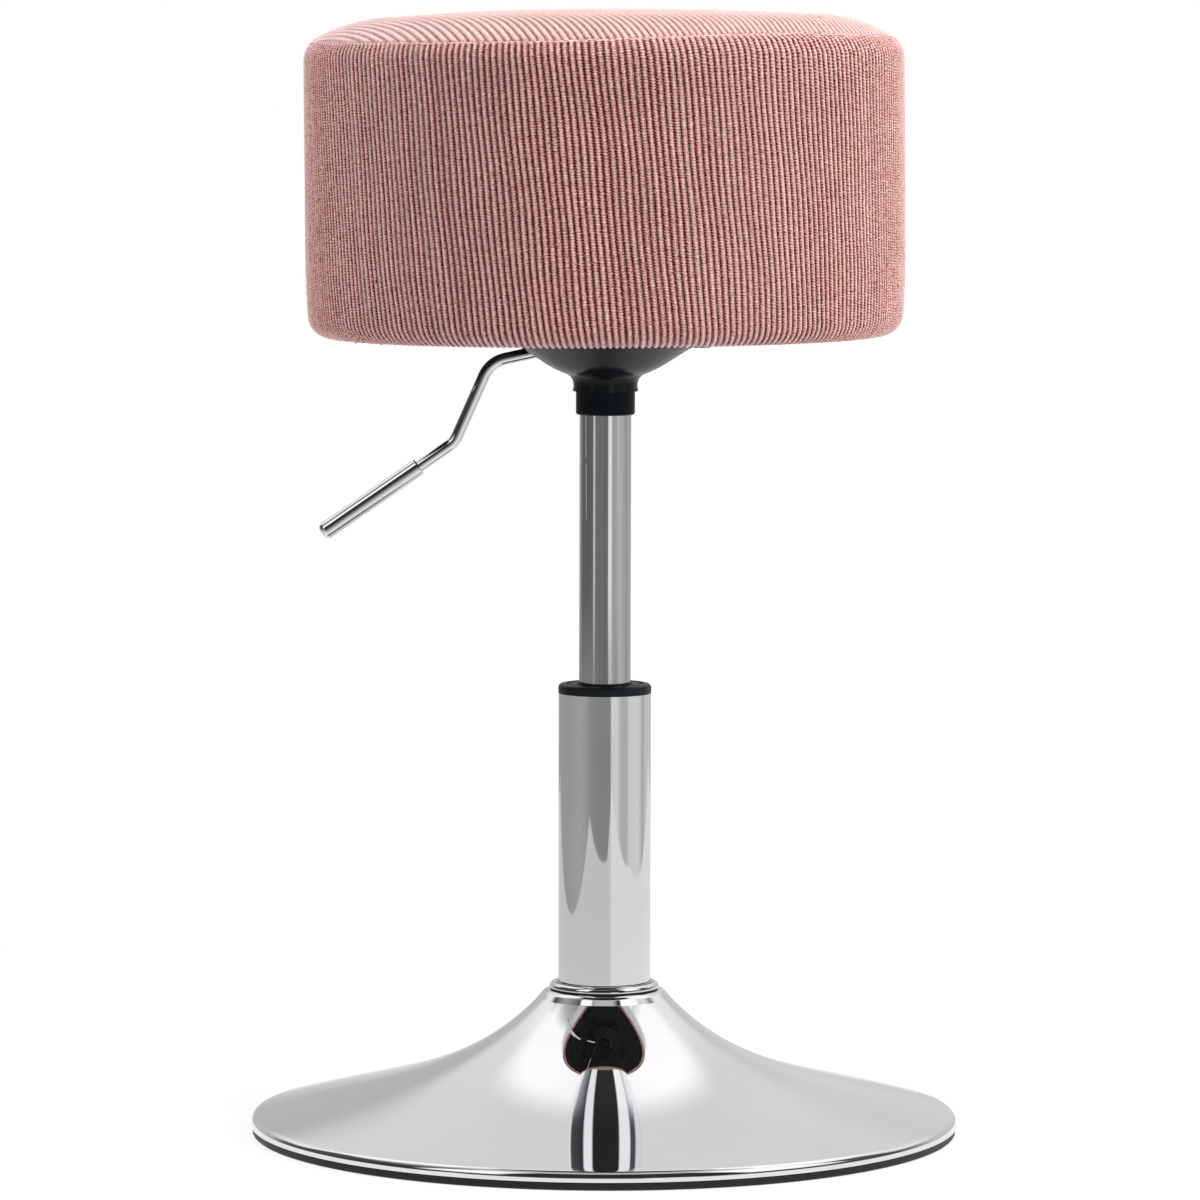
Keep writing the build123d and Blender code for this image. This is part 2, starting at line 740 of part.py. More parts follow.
with BuildPart() as tee_nuts:
    with BuildSketch(Plane.XY.offset(board_top - nut_flange_height)):
        with GridLocations(bolt_spacing, bolt_spacing, 2, 2):
            Circle(nut_flange_radius)
            Circle(bolt_radius + press_gap, mode=Mode.SUBTRACT)
    extrude(amount=nut_flange_height)
    with BuildSketch(Plane.XY.offset(board_top - nut_length)):
        with GridLocations(bolt_spacing, bolt_spacing, 2, 2):
            Circle(nut_barrel_radius)
            Circle(bolt_radius + press_gap, mode=Mode.SUBTRACT)
    extrude(amount=nut_length)
tee_nuts.part.label = "tee_nuts"
export_step(tee_nuts.part, "parts/tee_nuts.step")

# Lever: bracket of two ears under the plate, joined by a strip
with BuildPart() as lever_bracket:
    with BuildSketch(Plane.XZ):
        with Locations((-pivot_reach, lever_height)):
            Circle(ear_radius)
            Rectangle(2 * ear_radius, plate_bottom - lever_height, align=(Align.CENTER, Align.MIN))
            Circle(pivot_radius + press_gap, mode=Mode.SUBTRACT)
    extrude(amount=ear_outside, both=True)
    with BuildSketch(Plane.XZ):
        with Locations((-pivot_reach, plate_bottom - ear_wall)):
            Rectangle(plate_side, plate_bottom - hub_top, align=(Align.CENTER, Align.MAX))
    extrude(amount=ear_inside, both=True, mode=Mode.SUBTRACT)
lever_bracket.part.label = "lever_bracket"
export_step(lever_bracket.part, "parts/lever_bracket.step")

# Lever: pivot pin with a head at each end
with BuildPart() as lever_pivot_pin:
    with BuildSketch(Plane.XZ):
        with Locations((-pivot_reach, lever_height)):
            Circle(pivot_radius)
    extrude(amount=ear_outside, both=True)
    with BuildSketch(Plane.XZ.offset(ear_outside)):
        with Locations((-pivot_reach, lever_height)):
            Circle(pivot_head_radius)
    extrude(amount=pivot_head_height)
    mirror(about=Plane.XZ)
lever_pivot_pin.part.label = "lever_pivot_pin"
export_step(lever_pivot_pin.part, "parts/lever_pivot_pin.step")

# Lever: bent rod from over the pin to inside the grip, with a barrel round the pivot
handle_direction = Vector(-cos(radians(handle_slope)), -sin(radians(handle_slope)))
rod_start = Vector(lever_overrun, lever_height)
tail = Vector(-pivot_reach - tail_run, lever_height)
shoulder = tail + Vector(-neck_run, -neck_drop)
knee = shoulder + Vector(-shank_run, -shank_drop)
grip_start = knee + handle_direction * handle_bare
rod_tip = grip_start + handle_direction * (grip_length - cap_spigot)
with BuildPart() as lever_rod:
    with BuildLine() as rod_line:
        FilletPolyline(
            [(corner.X, 0, corner.Y) for corner in (rod_start, tail, shoulder, knee, rod_tip)],
            radius=[tail_bend, shoulder_bend, knee_bend],
        )
    with BuildSketch(Plane(origin=rod_line.wire() @ 0, z_dir=rod_line.wire() % 0)):
        Circle(lever_radius)
    sweep()
    with BuildSketch(Plane.XZ):
        with Locations((-pivot_reach, lever_height)):
            Circle(barrel_radius)
    extrude(amount=barrel_length / 2, both=True)
    with BuildSketch(Plane.XZ):
        with Locations((-pivot_reach, lever_height)):
            Circle(pivot_radius + running_gap)
    extrude(amount=barrel_length, both=True, mode=Mode.SUBTRACT)
lever_rod.part.label = "lever_rod"
export_step(lever_rod.part, "parts/lever_rod.step")


def handle_plane(along):
    """A plane square to the grip, this far from the grip's start."""
    place = grip_start + handle_direction * along
    return Plane(
        origin=(place.X, 0, place.Y),
        x_dir=(0, 1, 0),
        z_dir=(handle_direction.X, 0, handle_direction.Y),
    )


# Lever: grip sleeve, rounded at the end that shows
with BuildPart() as lever_grip:
    with BuildSketch(handle_plane(0)):
        Circle(grip_radius)
    extrude(amount=grip_length)
    fillet(lever_grip.edges().sort_by(Axis.X)[-1], grip_edge)
    with BuildSketch(handle_plane(0)):
        Circle(lever_radius + press_gap)
    extrude(amount=grip_length, mode=Mode.SUBTRACT)
lever_grip.part.label = "lever_grip"
export_step(lever_grip.part, "parts/lever_grip.step")

# Lever: domed plug in the grip's end
with BuildPart() as grip_end_cap:
    with BuildSketch(handle_plane(grip_length)):
        Circle(grip_radius)
    extrude(amount=cap_height)
    fillet(grip_end_cap.edges().sort_by(Axis.X)[0], cap_round)
    with BuildSketch(handle_plane(grip_length - cap_spigot)):
        Circle(lever_radius - press_gap)
    extrude(amount=cap_spigot)
grip_end_cap.part.label = "grip_end_cap"
export_step(grip_end_cap.part, "parts/grip_end_cap.step")

# Seat: plywood board, drilled and sunk for the tee nuts
with BuildPart() as seat_board:
    with BuildSketch(Plane.XY.offset(board_bottom)):
        Circle(board_radius)
    extrude(amount=board_height)
    with Locations(Plane.XY.offset(board_top)):
        with GridLocations(bolt_spacing, bolt_spacing, 2, 2):
            CounterBoreHole(nut_barrel_radius + press_gap, nut_flange_radius + press_gap, nut_flange_height)
seat_board.part.label = "seat_board"
export_step(seat_board.part, "parts/seat_board.step")

# Seat: foam, crowned on top, standing on the board and wrapped round its edge
with BuildPart() as foam_core:
    with BuildSketch(Plane.XZ):
        with BuildLine() as foam_line:
            band_line()
            crown_line((seam_radius, seam_height))
            offset(amount=fabric + foam_gap, side=Side.RIGHT, closed=False)
            foam_top = foam_line.vertices().sort_by(Axis.X)[0]
            foam_foot = foam_line.vertices().sort_by(Axis.Y)[0]
            Polyline(
                (foam_top.X, foam_top.Y),
                (0, foam_foot.Y),
                (foam_foot.X, foam_foot.Y),
            )
        make_face()
        Rectangle(board_radius + board_gap, board_top, align=(Align.MIN, Align.MIN), mode=Mode.SUBTRACT)
        Rectangle(seat_radius, board_bottom, align=(Align.MIN, Align.MIN), mode=Mode.SUBTRACT)
    revolve(axis=Axis.Z)
foam_core.part.label = "foam_core"
export_step(foam_core.part, "parts/foam_core.step")

# Seat: corduroy band, turned under the rolled edge as far as the hem
with BuildPart() as side_band:
    with BuildSketch(Plane.XZ):
        with BuildLine():
            Line((hem_radius, hem_height), (roll_radius, seat_bottom))
            band_line()
            offset(amount=fabric, kind=Kind.INTERSECTION, side=Side.LEFT)
        make_face()
    revolve(axis=Axis.Z)
side_band.part.label = "side_band"
export_step(side_band.part, "parts/side_band.step")

# Seat: crowned corduroy top, sewn to the band
with BuildPart() as top_panel:
    with BuildSketch(Plane.XZ):
        with BuildLine():
            crown_line((seam_radius - seam_gap, seam_height + seam_gap))
            offset(amount=fabric, side=Side.RIGHT)
        make_face()
    revolve(axis=Axis.Z)
top_panel.part.label = "top_panel"
export_step(top_panel.part, "parts/top_panel.step")

# Seat: cloth under the board, lapped over the hem
dust_edge = hem_radius - hem_clear
dust_bottom = board_bottom - dust_cloth
lap_height = hem_height - hem_gap - dust_cloth
with BuildPart() as dust_cover:
    with BuildSketch(Plane.XZ):
        with BuildLine():
            Polyline(
                (0, dust_bottom),
                (hem_radius - dust_step, dust_bottom),
                (dust_edge, lap_height),
                (hem_radius + dust_lap, lap_height - dust_lap * hem_slope),
            )
            offset(amount=dust_cloth, kind=Kind.INTERSECTION, side=Side.LEFT)
        make_face()
    revolve(axis=Axis.Z)
    with BuildSketch(Plane.XY.offset(plate_bottom)):
        with GridLocations(bolt_spacing, bolt_spacing, 2, 2):
            Circle(bolt_radius + screw_gap)
    extrude(amount=board_height, mode=Mode.SUBTRACT)
dust_cover.part.label = "dust_cover"
export_step(dust_cover.part, "parts/dust_cover.step")

# Seat: staples through the cloth and the hem into the board
staple_height = lap_height - staple_inset * hem_slope
staple_leg = board_bottom - staple_height + staple_bite
with BuildPart(Plane.XY.offset(staple_height)) as staples:
    with PolarLocations(hem_radius + staple_inset, staple_count):
        Box(staple_width, staple_crown, staple_wire, align=(Align.CENTER, Align.CENTER, Align.MAX))
        with Locations((0, (staple_crown - staple_wire) / 2, 0), (0, (staple_wire - staple_crown) / 2, 0)):
            Box(staple_width, staple_wire, staple_leg, align=(Align.CENTER, Align.CENTER, Align.MIN))
staples.part.label = "staples"
export_step(staples.part, "parts/staples.step")
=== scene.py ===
import json
from math import pi, radians, tan

import bpy
import numpy as np
from mathutils import Matrix, Vector

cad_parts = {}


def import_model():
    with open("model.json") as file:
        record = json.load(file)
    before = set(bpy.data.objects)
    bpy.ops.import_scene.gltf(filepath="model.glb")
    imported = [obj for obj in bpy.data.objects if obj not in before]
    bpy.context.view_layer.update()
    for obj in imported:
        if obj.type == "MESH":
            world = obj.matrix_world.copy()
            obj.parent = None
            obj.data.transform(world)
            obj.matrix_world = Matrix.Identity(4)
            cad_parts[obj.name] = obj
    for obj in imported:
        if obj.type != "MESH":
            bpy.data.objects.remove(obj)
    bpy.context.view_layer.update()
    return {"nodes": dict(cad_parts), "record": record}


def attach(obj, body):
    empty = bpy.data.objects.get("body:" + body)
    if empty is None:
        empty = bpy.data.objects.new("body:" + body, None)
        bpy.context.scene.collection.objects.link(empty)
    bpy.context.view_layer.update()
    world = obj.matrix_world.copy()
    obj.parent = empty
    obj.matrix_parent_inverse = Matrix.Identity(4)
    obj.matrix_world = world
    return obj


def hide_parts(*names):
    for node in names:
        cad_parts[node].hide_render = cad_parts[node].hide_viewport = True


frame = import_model()

# Bar stool: the looks of a round corduroy seat on a gas-lift column with a chrome trumpet base.
# Sections are in millimetres, as (radius, height); meshes and materials are in metres.
MM = 0.001

# Camera, fitted to the photograph
IMAGE_WIDTH = 1200
FOCAL_PIXELS = 6603
SENSOR_WIDTH = 36.0
CAMERA_DISTANCE = 3.569
CAMERA_SIDE = -0.0027
CAMERA_HEIGHT = 0.5991
CAMERA_PITCH = 4.944
CAMERA_ROLL = 0.13

# Trumpet shell, with its slopes in degrees below level
BASE_RADIUS = 192.5
SHELL_WALL = 1.5
SHELL_HOLE = 25.6
NECK_HEIGHT = 78.0
NECK_FLAT = 29.95
NECK_CORNER = 5.0
CONE_SLOPE = 52.3
CONE_RUN = 3.4
CONE_EDGE = 0.1  # rows this near the cone's ends keep it straight
NECK_SLOPE = 47.2
NECK_PULL = 56.0
RIM_SLOPE = 14.1
RIM_PULL = 67.0
RIM_ROLL = 4.0
RIM_CENTRE = 6.2
LIP_BOTTOM = 4.4
CUT_EDGE = 0.2  # width of the row at the hole and at the lip
SWEEP_START = 0.001  # share of the sweep in its first row
OUTSIDE_STEPS = 48
INSIDE_STEPS = 20
BEND_STEPS = 14
ROLL_STEPS = 12
SHELL_COLUMNS = 240

# Seat section, outside of the cloth
SEAT_RADIUS = 162.0
SEAT_BOTTOM = 434.0
SEAT_TOP = 610.0
ROLL_REACH = 11.0
ROLL_RISE = 11.0
SIDE_DRAW = 1.2
DRAW_HEIGHT = 44.0
SEAM_RADIUS = 157.0
SEAM_HEIGHT = 593.5
SEAM_GAP = 0.3
CORNER_RISE = 10.5
HEM_RADIUS = 118.0
HEM_HEIGHT = 437.0
DOME_RADIUS = 118.0
DOME_DROP = 3.3
CLOTH = 1.6

# How the seat sits in the photograph
SEAT_TILT = 0.4  # degrees, up on the right
TILT_RISE = (4.0, 16.0)  # above the seat's bottom, where the tilt sets in
TILT_REACH = (138.0, 150.0)  # and this far out on the underside
RIGHT_DRAW = 0.3  # the right side is drawn in this much at the top
DRAW_RISE = 70.0  # from this far above the seat's bottom
DRAW_SIDE = 60.0  # and this far to the right
LEFT_DIP = 1.0  # the left shoulder is this much lower
DIP_RISE = 12.0  # in full this far above the seam
DIP_SIDE = 125.0
DIP_WIDTH = 40.0
SEAM_DROP = 1.7  # along the section, below its drawn place
SEAM_RISE = 7.6  # and above that at its highest
SEAM_RISE_PLACE = 42.0  # degrees from the front
SEAM_RISE_WIDTH = 38.0
SEAM_EASE = 25.0  # band and top have taken up the seam's slide this far from it
CREASE = 0.9  # where the band passes over the foam's corner
CREASE_WIDTH = 2.0

# Corduroy of the side
WALES_ROUND = 284
WALE_DEPTH = 1.2
WALE_FULLNESS = 0.62  # the smaller, the rounder a wale and the narrower its groove
LOWEST_WALE = 0.88  # height of the flattest wale, beside the fullest
WALE_PHASES = (0.0, 0.15, 0.32, 0.5, 0.68, 0.85)
SIDE_LEAN = 6.0  # degrees, of the wales
UPRIGHT_WIDTH = 0.75  # radians round the right side, where they stand upright
WALE_WANDER = 0.5
WANDER_WAVES = ((3, 0.03), (7, -0.05), (13, 0.09))  # waves round the seat, and their turn with height
WALE_START = 2.5  # below the seam, where the wales have their full depth
SHADE_START = 0.8  # and where their grooves take their full painted shade
SEAM_TUCK = ((-2.2, -2.4), (-1.0, -0.6))
FREE_REACH = (144.0, 151.0)  # the cover lies flat on the board inside of this
FREE_RISE = 12.0  # and is free above this, up from the seat's bottom
LINING_STEP = 5  # each fifth row of the outside has one on the cloth's inside

# Corduroy of the top
WALE_PITCH = 3.6
TOP_WALE_DEPTH = 0.9
TOP_PHASES = (0.0, 0.12, 0.25, 0.38, 0.5, 0.62, 0.75, 0.88)
TOP_TURN = 21.0  # degrees, of the wales
TOP_ROWS = 76
TOP_ROW_SPREAD = 1.547  # the nearer to a quarter turn, the closer the rows at the seam
TOP_MARGIN = 0.4
TOP_EDGE = 1.4  # from the seam, where the wales have their full depth
TOP_TUCK = 1.6
TOP_TUCK_WIDTH = 1.2
# how much of the grooves' painted shade the top keeps
TOP_CONTRAST = 0.8
TOP_PAINTED_SHEEN = 0.06  # painted sheen: the pile on the top is made paler

# Pile
SEAM_SHADE = 0.3  # painted shade along the seam
SEAM_SHADE_WIDTH = 1.6
TEETH_PER_METRE = 680.0
TOOTH_SHIFT = 8.0  # the teeth start anywhere in this length, from wale to wale
TOOTH_SLANT = 0.4  # of a tooth, from a wale's middle to its side
TOOTH_REACH = 0.38  # in the groove
TOOTH_FADE = 0.28  # less than that on top of the wale
FUZZ = 1.2
PILE_LEVEL = 0.8

# Coarse cover that settles under pressure
CROWN_RINGS = 14
BAND_RINGS = 26
COVER_COLUMNS = 112
STAPLES = 28
PULL_RADIUS = 143.0  # where the staples' pull on the cover is felt
STAPLE_PULL = (0.3, 2.2)
SEAM_HOLD = 0.7
SETTLE_FRAMES = 20
PRESSURE = 4.0
STIFFNESS = 5.0
LARGEST_MOVE = 2.5

# Dust cloth under the seat
DUST_MIDDLE = 0.4  # radius of its first row
DUST_LEVEL = 438.0
DUST_STEP = 110.0
DUST_LAP = 117.0
DUST_LAP_LEVEL = 436.3
DUST_EDGE = 146.0
DUST_EDGE_LEVEL = 433.75
DUST_CLOTH = 0.6
DUST_LIFT = 0.5  # the cloth's edge is pressed up into the roll
LIFT_WIDTH = 10.0
DUST_SLACK = 0.35  # between the staples
SLACK_FULL = 128.0
SLACK_END = (134.0, 144.0)
DUST_SAG = 0.6  # inside the step
SAG_START = (74.0, 92.0)
SAG_END = 100.0
PUCKERS = (-65.2, -54.3, 133.0, 168.0, -120.0)  # degrees from the front, at the cloth's edge
PUCKER_DROP = 1.5
PUCKER_WIDTH = 0.013  # radians
PUCKER_REACH = 5.0
FRAY_REACH = 8.0
DUST_ROWS = 34
DUST_COLUMNS = 336

# Floor sheet, in metres, and its grey levels
FLOOR_LEVEL = -0.0002
FLOOR_CORNERS = ((-0.92, -1.18), (0.15, -1.22), (0.50, -1.63), (1.08, -0.48), (1.2, 1.5), (-0.92, 1.5))
LEFT_FLOOR = ((0.3, 1.0), (0.55, 0.70), (1.0, 0.65))  # distance from the middle, and level there
RIGHT_FLOOR = ((0.3, 1.0), (0.55, 0.90), (1.0, 0.84))
BACK_FLOOR = 0.70
FLOOR_PAINT = 0.9
SHADOW_FADE = ((0.3, 0.8), (0.8, 1.0))  # distance from the middle, and share of plain white there

# Studio
ROOM_LEVEL = 0.40
CEILING_LEVEL = 0.6
AIM_HEIGHT = 0.5

random = np.random.default_rng(7)


# Node helpers
def add_node(tree, kind, inputs=None, **settings):
    """A new node with its settings, and with its inputs set or linked."""
    node = tree.nodes.new(kind)
    for name, value in settings.items():
        setattr(node, name, value)
    for name, value in (inputs or {}).items():
        if isinstance(value, bpy.types.NodeSocket):
            tree.links.new(value, node.inputs[name])
        else:
            node.inputs[name].default_value = value
    return node


def math_node(tree, operation, *values):
    """The result of a math operation on sockets or numbers."""
    return add_node(tree, "ShaderNodeMath", dict(enumerate(values)), operation=operation).outputs[0]


def ramp(tree, value, stops, interpolation="LINEAR"):
    """A colour ramp over a socket, from (place, colour) stops."""
    node = add_node(tree, "ShaderNodeValToRGB", {"Fac": value})
    node.color_ramp.interpolation = interpolation
    elements = node.color_ramp.elements
    while len(elements) < len(stops):
        elements.new(0.5)
    for element, (place, colour) in zip(elements, stops):
        element.position = place
        element.color = (*colour, 1)
    return node.outputs["Color"]


def grey(level):
    return (level, level, level)


def grey_ramp(tree, value, stops, interpolation="LINEAR"):
    """A ramp over a socket, from (place, grey level) stops."""
    return ramp(tree, value, [(place, grey(level)) for place, level in stops], interpolation)


def blend(tree, share, first, second, how="MIX"):
    """First where share is 0, second over it where share is 1. Inputs 6 and 7 are the mix node's colours."""
    inputs = {"Factor": share, 6: first, 7: second}
    return add_node(tree, "ShaderNodeMix", inputs, data_type="RGBA", blend_type=how).outputs[2]


def noise(tree, scale, detail=2.0, stretch=(1, 1, 1)):
    """Noise over the object, in metres, stretched along the axes."""
    place = add_node(tree, "ShaderNodeTexCoord").outputs["Object"]
    place = add_node(tree, "ShaderNodeMapping", {"Vector": place, "Scale": stretch}).outputs["Vector"]
    inputs = {"Vector": place, "Scale": scale, "Detail": detail}
    return add_node(tree, "ShaderNodeTexNoise", inputs).outputs["Fac"]


def new_material(name, **values):
    """A material with its Principled shader's own sockets set."""
    material = bpy.data.materials.new(name)
    material.use_nodes = True
    tree = material.node_tree
    shader = tree.nodes["Principled BSDF"]
    for key, value in values.items():
        shader.inputs[key.replace("_", " ")].default_value = value
    return material, tree, shader


def colour_by(tree, shader, value, dark, light, low=0.3, high=0.7):
    """Base colour that varies with a socket between two colours."""
    colour = ramp(tree, value, [(low, dark), (high, light)])
    tree.links.new(colour, shader.inputs["Base Color"])


def roughen(tree, shader, value, low, high):
    """Roughness that varies with a socket between two levels."""
    levels = {"Value": value, "From Min": 0.3, "From Max": 0.7, "To Min": low, "To Max": high}
    spread = add_node(tree, "ShaderNodeMapRange", levels)
    tree.links.new(spread.outputs["Result"], shader.inputs["Roughness"])


def bump(tree, shader, height, distance, strength=1.0):
    """Relief that follows a socket, as deep as distance in metres."""
    inputs = {"Height": height, "Distance": distance, "Strength": strength}
    node = add_node(tree, "ShaderNodeBump", inputs)
    tree.links.new(node.outputs["Normal"], shader.inputs["Normal"])


# Materials
def chrome_material():
    """Bright chrome, faintly smudged."""
    material, tree, shader = new_material("chrome", Metallic=1.0)
    smudge = noise(tree, 14.0, detail=4.0)
    colour_by(tree, shader, smudge, (0.74, 0.75, 0.765), (0.79, 0.795, 0.805))
    roughen(tree, shader, smudge, 0.012, 0.03)
    return material


def drawn_chrome_material():
    """Chrome over a drawn tube, with faint lines along it."""
    material, tree, shader = new_material("drawn_chrome", Metallic=1.0)
    lines = noise(tree, 900.0, detail=3.0, stretch=(1, 1, 0.004))
    colour_by(tree, shader, lines, (0.46, 0.47, 0.475), (0.55, 0.56, 0.565))
    roughen(tree, shader, lines, 0.03, 0.06)
    return material


def black_material(name, dark, light, rough, grain, depth, gloss):
    """Black rubber, plastic or paint, with a fine grain."""
    material, tree, shader = new_material(name, Specular_IOR_Level=gloss)
    patches = noise(tree, 60.0, detail=3.0)
    colour_by(tree, shader, patches, dark, light)
    roughen(tree, shader, patches, *rough)
    bump(tree, shader, noise(tree, grain), depth)
    return material


def black_rubber_material():
    return black_material(
        "black_rubber",
        dark=grey(0.008),
        light=grey(0.016),
        rough=(0.45, 0.58),
        grain=1400.0,
        depth=0.00004,
        gloss=0.3,
    )


def black_plastic_material():
    return black_material(
        "black_plastic",
        dark=(0.007, 0.0085, 0.010),
        light=(0.010, 0.012, 0.014),
        rough=(0.35, 0.45),
        grain=1100.0,
        depth=0.00003,
        gloss=0.12,
    )


def charcoal_plastic_material():
    return black_material(
        "charcoal_plastic",
        dark=(0.003, 0.004, 0.005),
        light=(0.005, 0.006, 0.0075),
        rough=(0.15, 0.20),
        grain=1600.0,
        depth=0.00001,
        gloss=0.155,
    )


def black_paint_material():
    return black_material(
        "black_paint",
        dark=(0.004, 0.0055, 0.007),
        light=(0.0055, 0.0075, 0.0095),
        rough=(0.32, 0.42),
        grain=900.0,
        depth=0.00003,
        gloss=0.06,
    )


def bare_metal_material(name, dark, light):
    """Plated steel or cast aluminium, dull and a little mottled."""
    material, tree, shader = new_material(name, Metallic=1.0)
    spangle = noise(tree, 160.0, detail=3.0)
    colour_by(tree, shader, spangle, dark, light)
    roughen(tree, shader, spangle, 0.28, 0.42)
    return material


def plywood_material():
    """Plywood with its plies showing at the edge."""
    material, tree, shader = new_material("plywood", Roughness=0.7)
    plies = noise(tree, 420.0, stretch=(0.05, 0.05, 1))
    colour_by(tree, shader, plies, (0.34, 0.22, 0.12), (0.60, 0.45, 0.28), low=0.35, high=0.65)
    bump(tree, shader, plies, 0.0002)
    return material


def foam_material():
    """Pale foam with open cells."""
    material, tree, shader = new_material("foam", Roughness=0.9)
    cells = noise(tree, 700.0, detail=3.0)
    colour_by(tree, shader, cells, (0.70, 0.62, 0.42), (0.85, 0.80, 0.62))
    bump(tree, shader, cells, 0.0005)
    return material


def dust_cloth_material():
    """Black nonwoven, with its pattern of pressed points."""
    material, tree, shader = new_material("dust_cloth", Roughness=0.85, Specular_IOR_Level=0.15)
    fibres = noise(tree, 900.0, detail=4.0)
    colour_by(tree, shader, fibres, grey(0.004), grey(0.014))
    place = add_node(tree, "ShaderNodeTexCoord").outputs["Object"]
    inputs = {"Vector": place, "Scale": 620.0, "Randomness": 0.15}
    points = add_node(tree, "ShaderNodeTexVoronoi", inputs).outputs["Distance"]
    bump(tree, shader, points, 0.0002, strength=0.6)
    return material


def corduroy_material():
    """Dusty pink corduroy: wales with a toothed weave; the colour ramp paints shade into the grooves."""
    material, tree, shader = new_material(
        "corduroy",
        Roughness=0.85,
        Specular_IOR_Level=0.12,
        Sheen_Weight=1.0,
        Sheen_Roughness=0.32,
        Sheen_Tint=(1.0, 1.0, 1.0, 1),
    )
    # wale_height carries the wales' height together with painted shade in the grooves and at the seam, and
    # the top's painted sheen.
    height = add_node(tree, "ShaderNodeAttribute", attribute_name="wale_height").outputs["Fac"]
    side = add_node(tree, "ShaderNodeAttribute", attribute_name="wale_side").outputs["Fac"]
    along = add_node(tree, "ShaderNodeAttribute", attribute_name="wale_along").outputs["Fac"]
    slant = math_node(tree, "MULTIPLY", math_node(tree, "ABSOLUTE", side), TOOTH_SLANT)
    waver = math_node(tree, "ADD", noise(tree, 450.0), slant)
    turns = math_node(tree, "MULTIPLY_ADD", along, TEETH_PER_METRE, waver)
    weave = math_node(tree, "SINE", math_node(tree, "MULTIPLY", turns, 2 * pi))
    fuzz = math_node(tree, "SUBTRACT", noise(tree, 800.0), 0.5)
    reach = math_node(tree, "MULTIPLY_ADD", height, -TOOTH_FADE, TOOTH_REACH)
    teeth = math_node(tree, "MULTIPLY_ADD", weave, reach, math_node(tree, "MULTIPLY", fuzz, FUZZ))
    pile = math_node(tree, "MULTIPLY", math_node(tree, "ADD", height, teeth), PILE_LEVEL)
    # The low stops are painted shade for the grooves; the top's painted sheen reaches the highest.
    stops = [
        (0.05, (0.055, 0.010, 0.009)),
        (0.26, (0.125, 0.027, 0.024)),
        (0.50, (0.445, 0.203, 0.184)),
        (0.80, (0.635, 0.393, 0.364)),
        (1.0, (0.770, 0.550, 0.515)),
    ]
    patches = grey_ramp(tree, noise(tree, 35.0, detail=3.0), [(0.3, 0.95), (0.7, 1.05)])
    cloth = blend(tree, 1.0, ramp(tree, pile, stops), patches, "MULTIPLY")
    tree.links.new(cloth, shader.inputs["Base Color"])
    relief = math_node(tree, "MULTIPLY_ADD", fuzz, 3.0, weave)
    bump(tree, shader, relief, 0.00009, strength=0.8)
    return material


def dress_nodes():
    """Gives each CAD node the material of its slot in the record."""
    materials = {
        "chrome": chrome_material(),
        "black_rubber": black_rubber_material(),
        "black_plastic": black_plastic_material(),
        "charcoal_plastic": charcoal_plastic_material(),
        "black_paint": black_paint_material(),
        "steel": bare_metal_material("steel", grey(0.46), grey(0.60)),
        "aluminium": bare_metal_material("aluminium", (0.60, 0.61, 0.62), (0.70, 0.71, 0.72)),
        "plywood": plywood_material(),
        "foam": foam_material(),
        "corduroy": corduroy_material(),
        "dust_cloth": dust_cloth_material(),
    }
    for part in frame["record"]["subparts"]:
        node = frame["nodes"][part["node"]]
        node.data.materials.clear()
        node.data.materials.append(materials[part["material_slot"]])
    frame["nodes"]["gas_cylinder"].data.materials[0] = drawn_chrome_material()
    blackened = bare_metal_material("blackened_steel", grey(0.010), grey(0.025))
    for name in ("bell_screws", "plate_bolts", "plate_washers", "staples"):
        frame["nodes"][name].data.materials[0] = blackened
    return materials


# Mesh helpers
def tangent_arc(start, end, direction, steps):
    """Points of the arc that leaves start along direction and reaches end."""
    start = np.array(start, float)
    chord = np.array(end, float) - start
    ahead = np.array(direction, float) / np.linalg.norm(direction)
    left = np.array([-ahead[1], ahead[0]])
    turn = 2 * np.arctan2(left @ chord, ahead @ chord)
    radius = np.linalg.norm(chord) / (2 * np.sin(turn / 2))
    angles = np.linspace(0, turn, steps + 1)
    return start + radius * (np.outer(np.sin(angles), ahead) + np.outer(1 - np.cos(angles), left))


def centre_arc(centre, radius, first, last, steps):
    """Points of an arc round a centre, between two angles in degrees."""
    angles = np.radians(np.linspace(first, last, steps + 1))
    return np.array(centre) + radius * np.stack([np.cos(angles), np.sin(angles)], axis=1)


def downhill(slope):
    """Direction of a section that falls outwards, at an angle in degrees below level."""
    return np.array([np.cos(radians(slope)), -np.sin(radians(slope))])


def lengths_of(path):
    """Distance of each point along a section."""
    return np.concatenate([[0], np.cumsum(np.linalg.norm(np.diff(path, axis=0), axis=1))])


def resample(path, count):
    """Evenly spaced points along a section."""
    along = lengths_of(path)
    places = np.linspace(0, along[-1], count)
    return np.stack([np.interp(places, along, path[:, 0]), np.interp(places, along, path[:, 1])], axis=1)


def normals_of(path):
    """Normals of a section, to the left of its direction."""
    ahead = np.gradient(path, axis=0)
    ahead /= np.linalg.norm(ahead, axis=1)[:, None]
    return np.stack([-ahead[:, 1], ahead[:, 0]], axis=1)


def smooth_step(value, low, high):
    """0 below low, 1 above high, with an eased rise between."""
    share = np.clip((value - low) / (high - low), 0, 1)
    return share * share * (3 - 2 * share)


def angle_from(turn, degrees):
    """Angle in radians from a place round the seat, between half a turn back and half a turn on."""
    return np.mod(turn - radians(degrees) + pi, 2 * pi) - pi


def round_points(radius, turn, height):
    """Points in millimetres at an angle from the front of the object, counted to its right."""
    x, y, z = np.broadcast_arrays(radius * np.sin(turn), -radius * np.cos(turn), height)
    return np.stack([x, y, z], axis=-1)


def even_turns(count):
    return 2 * pi * np.arange(count) / count


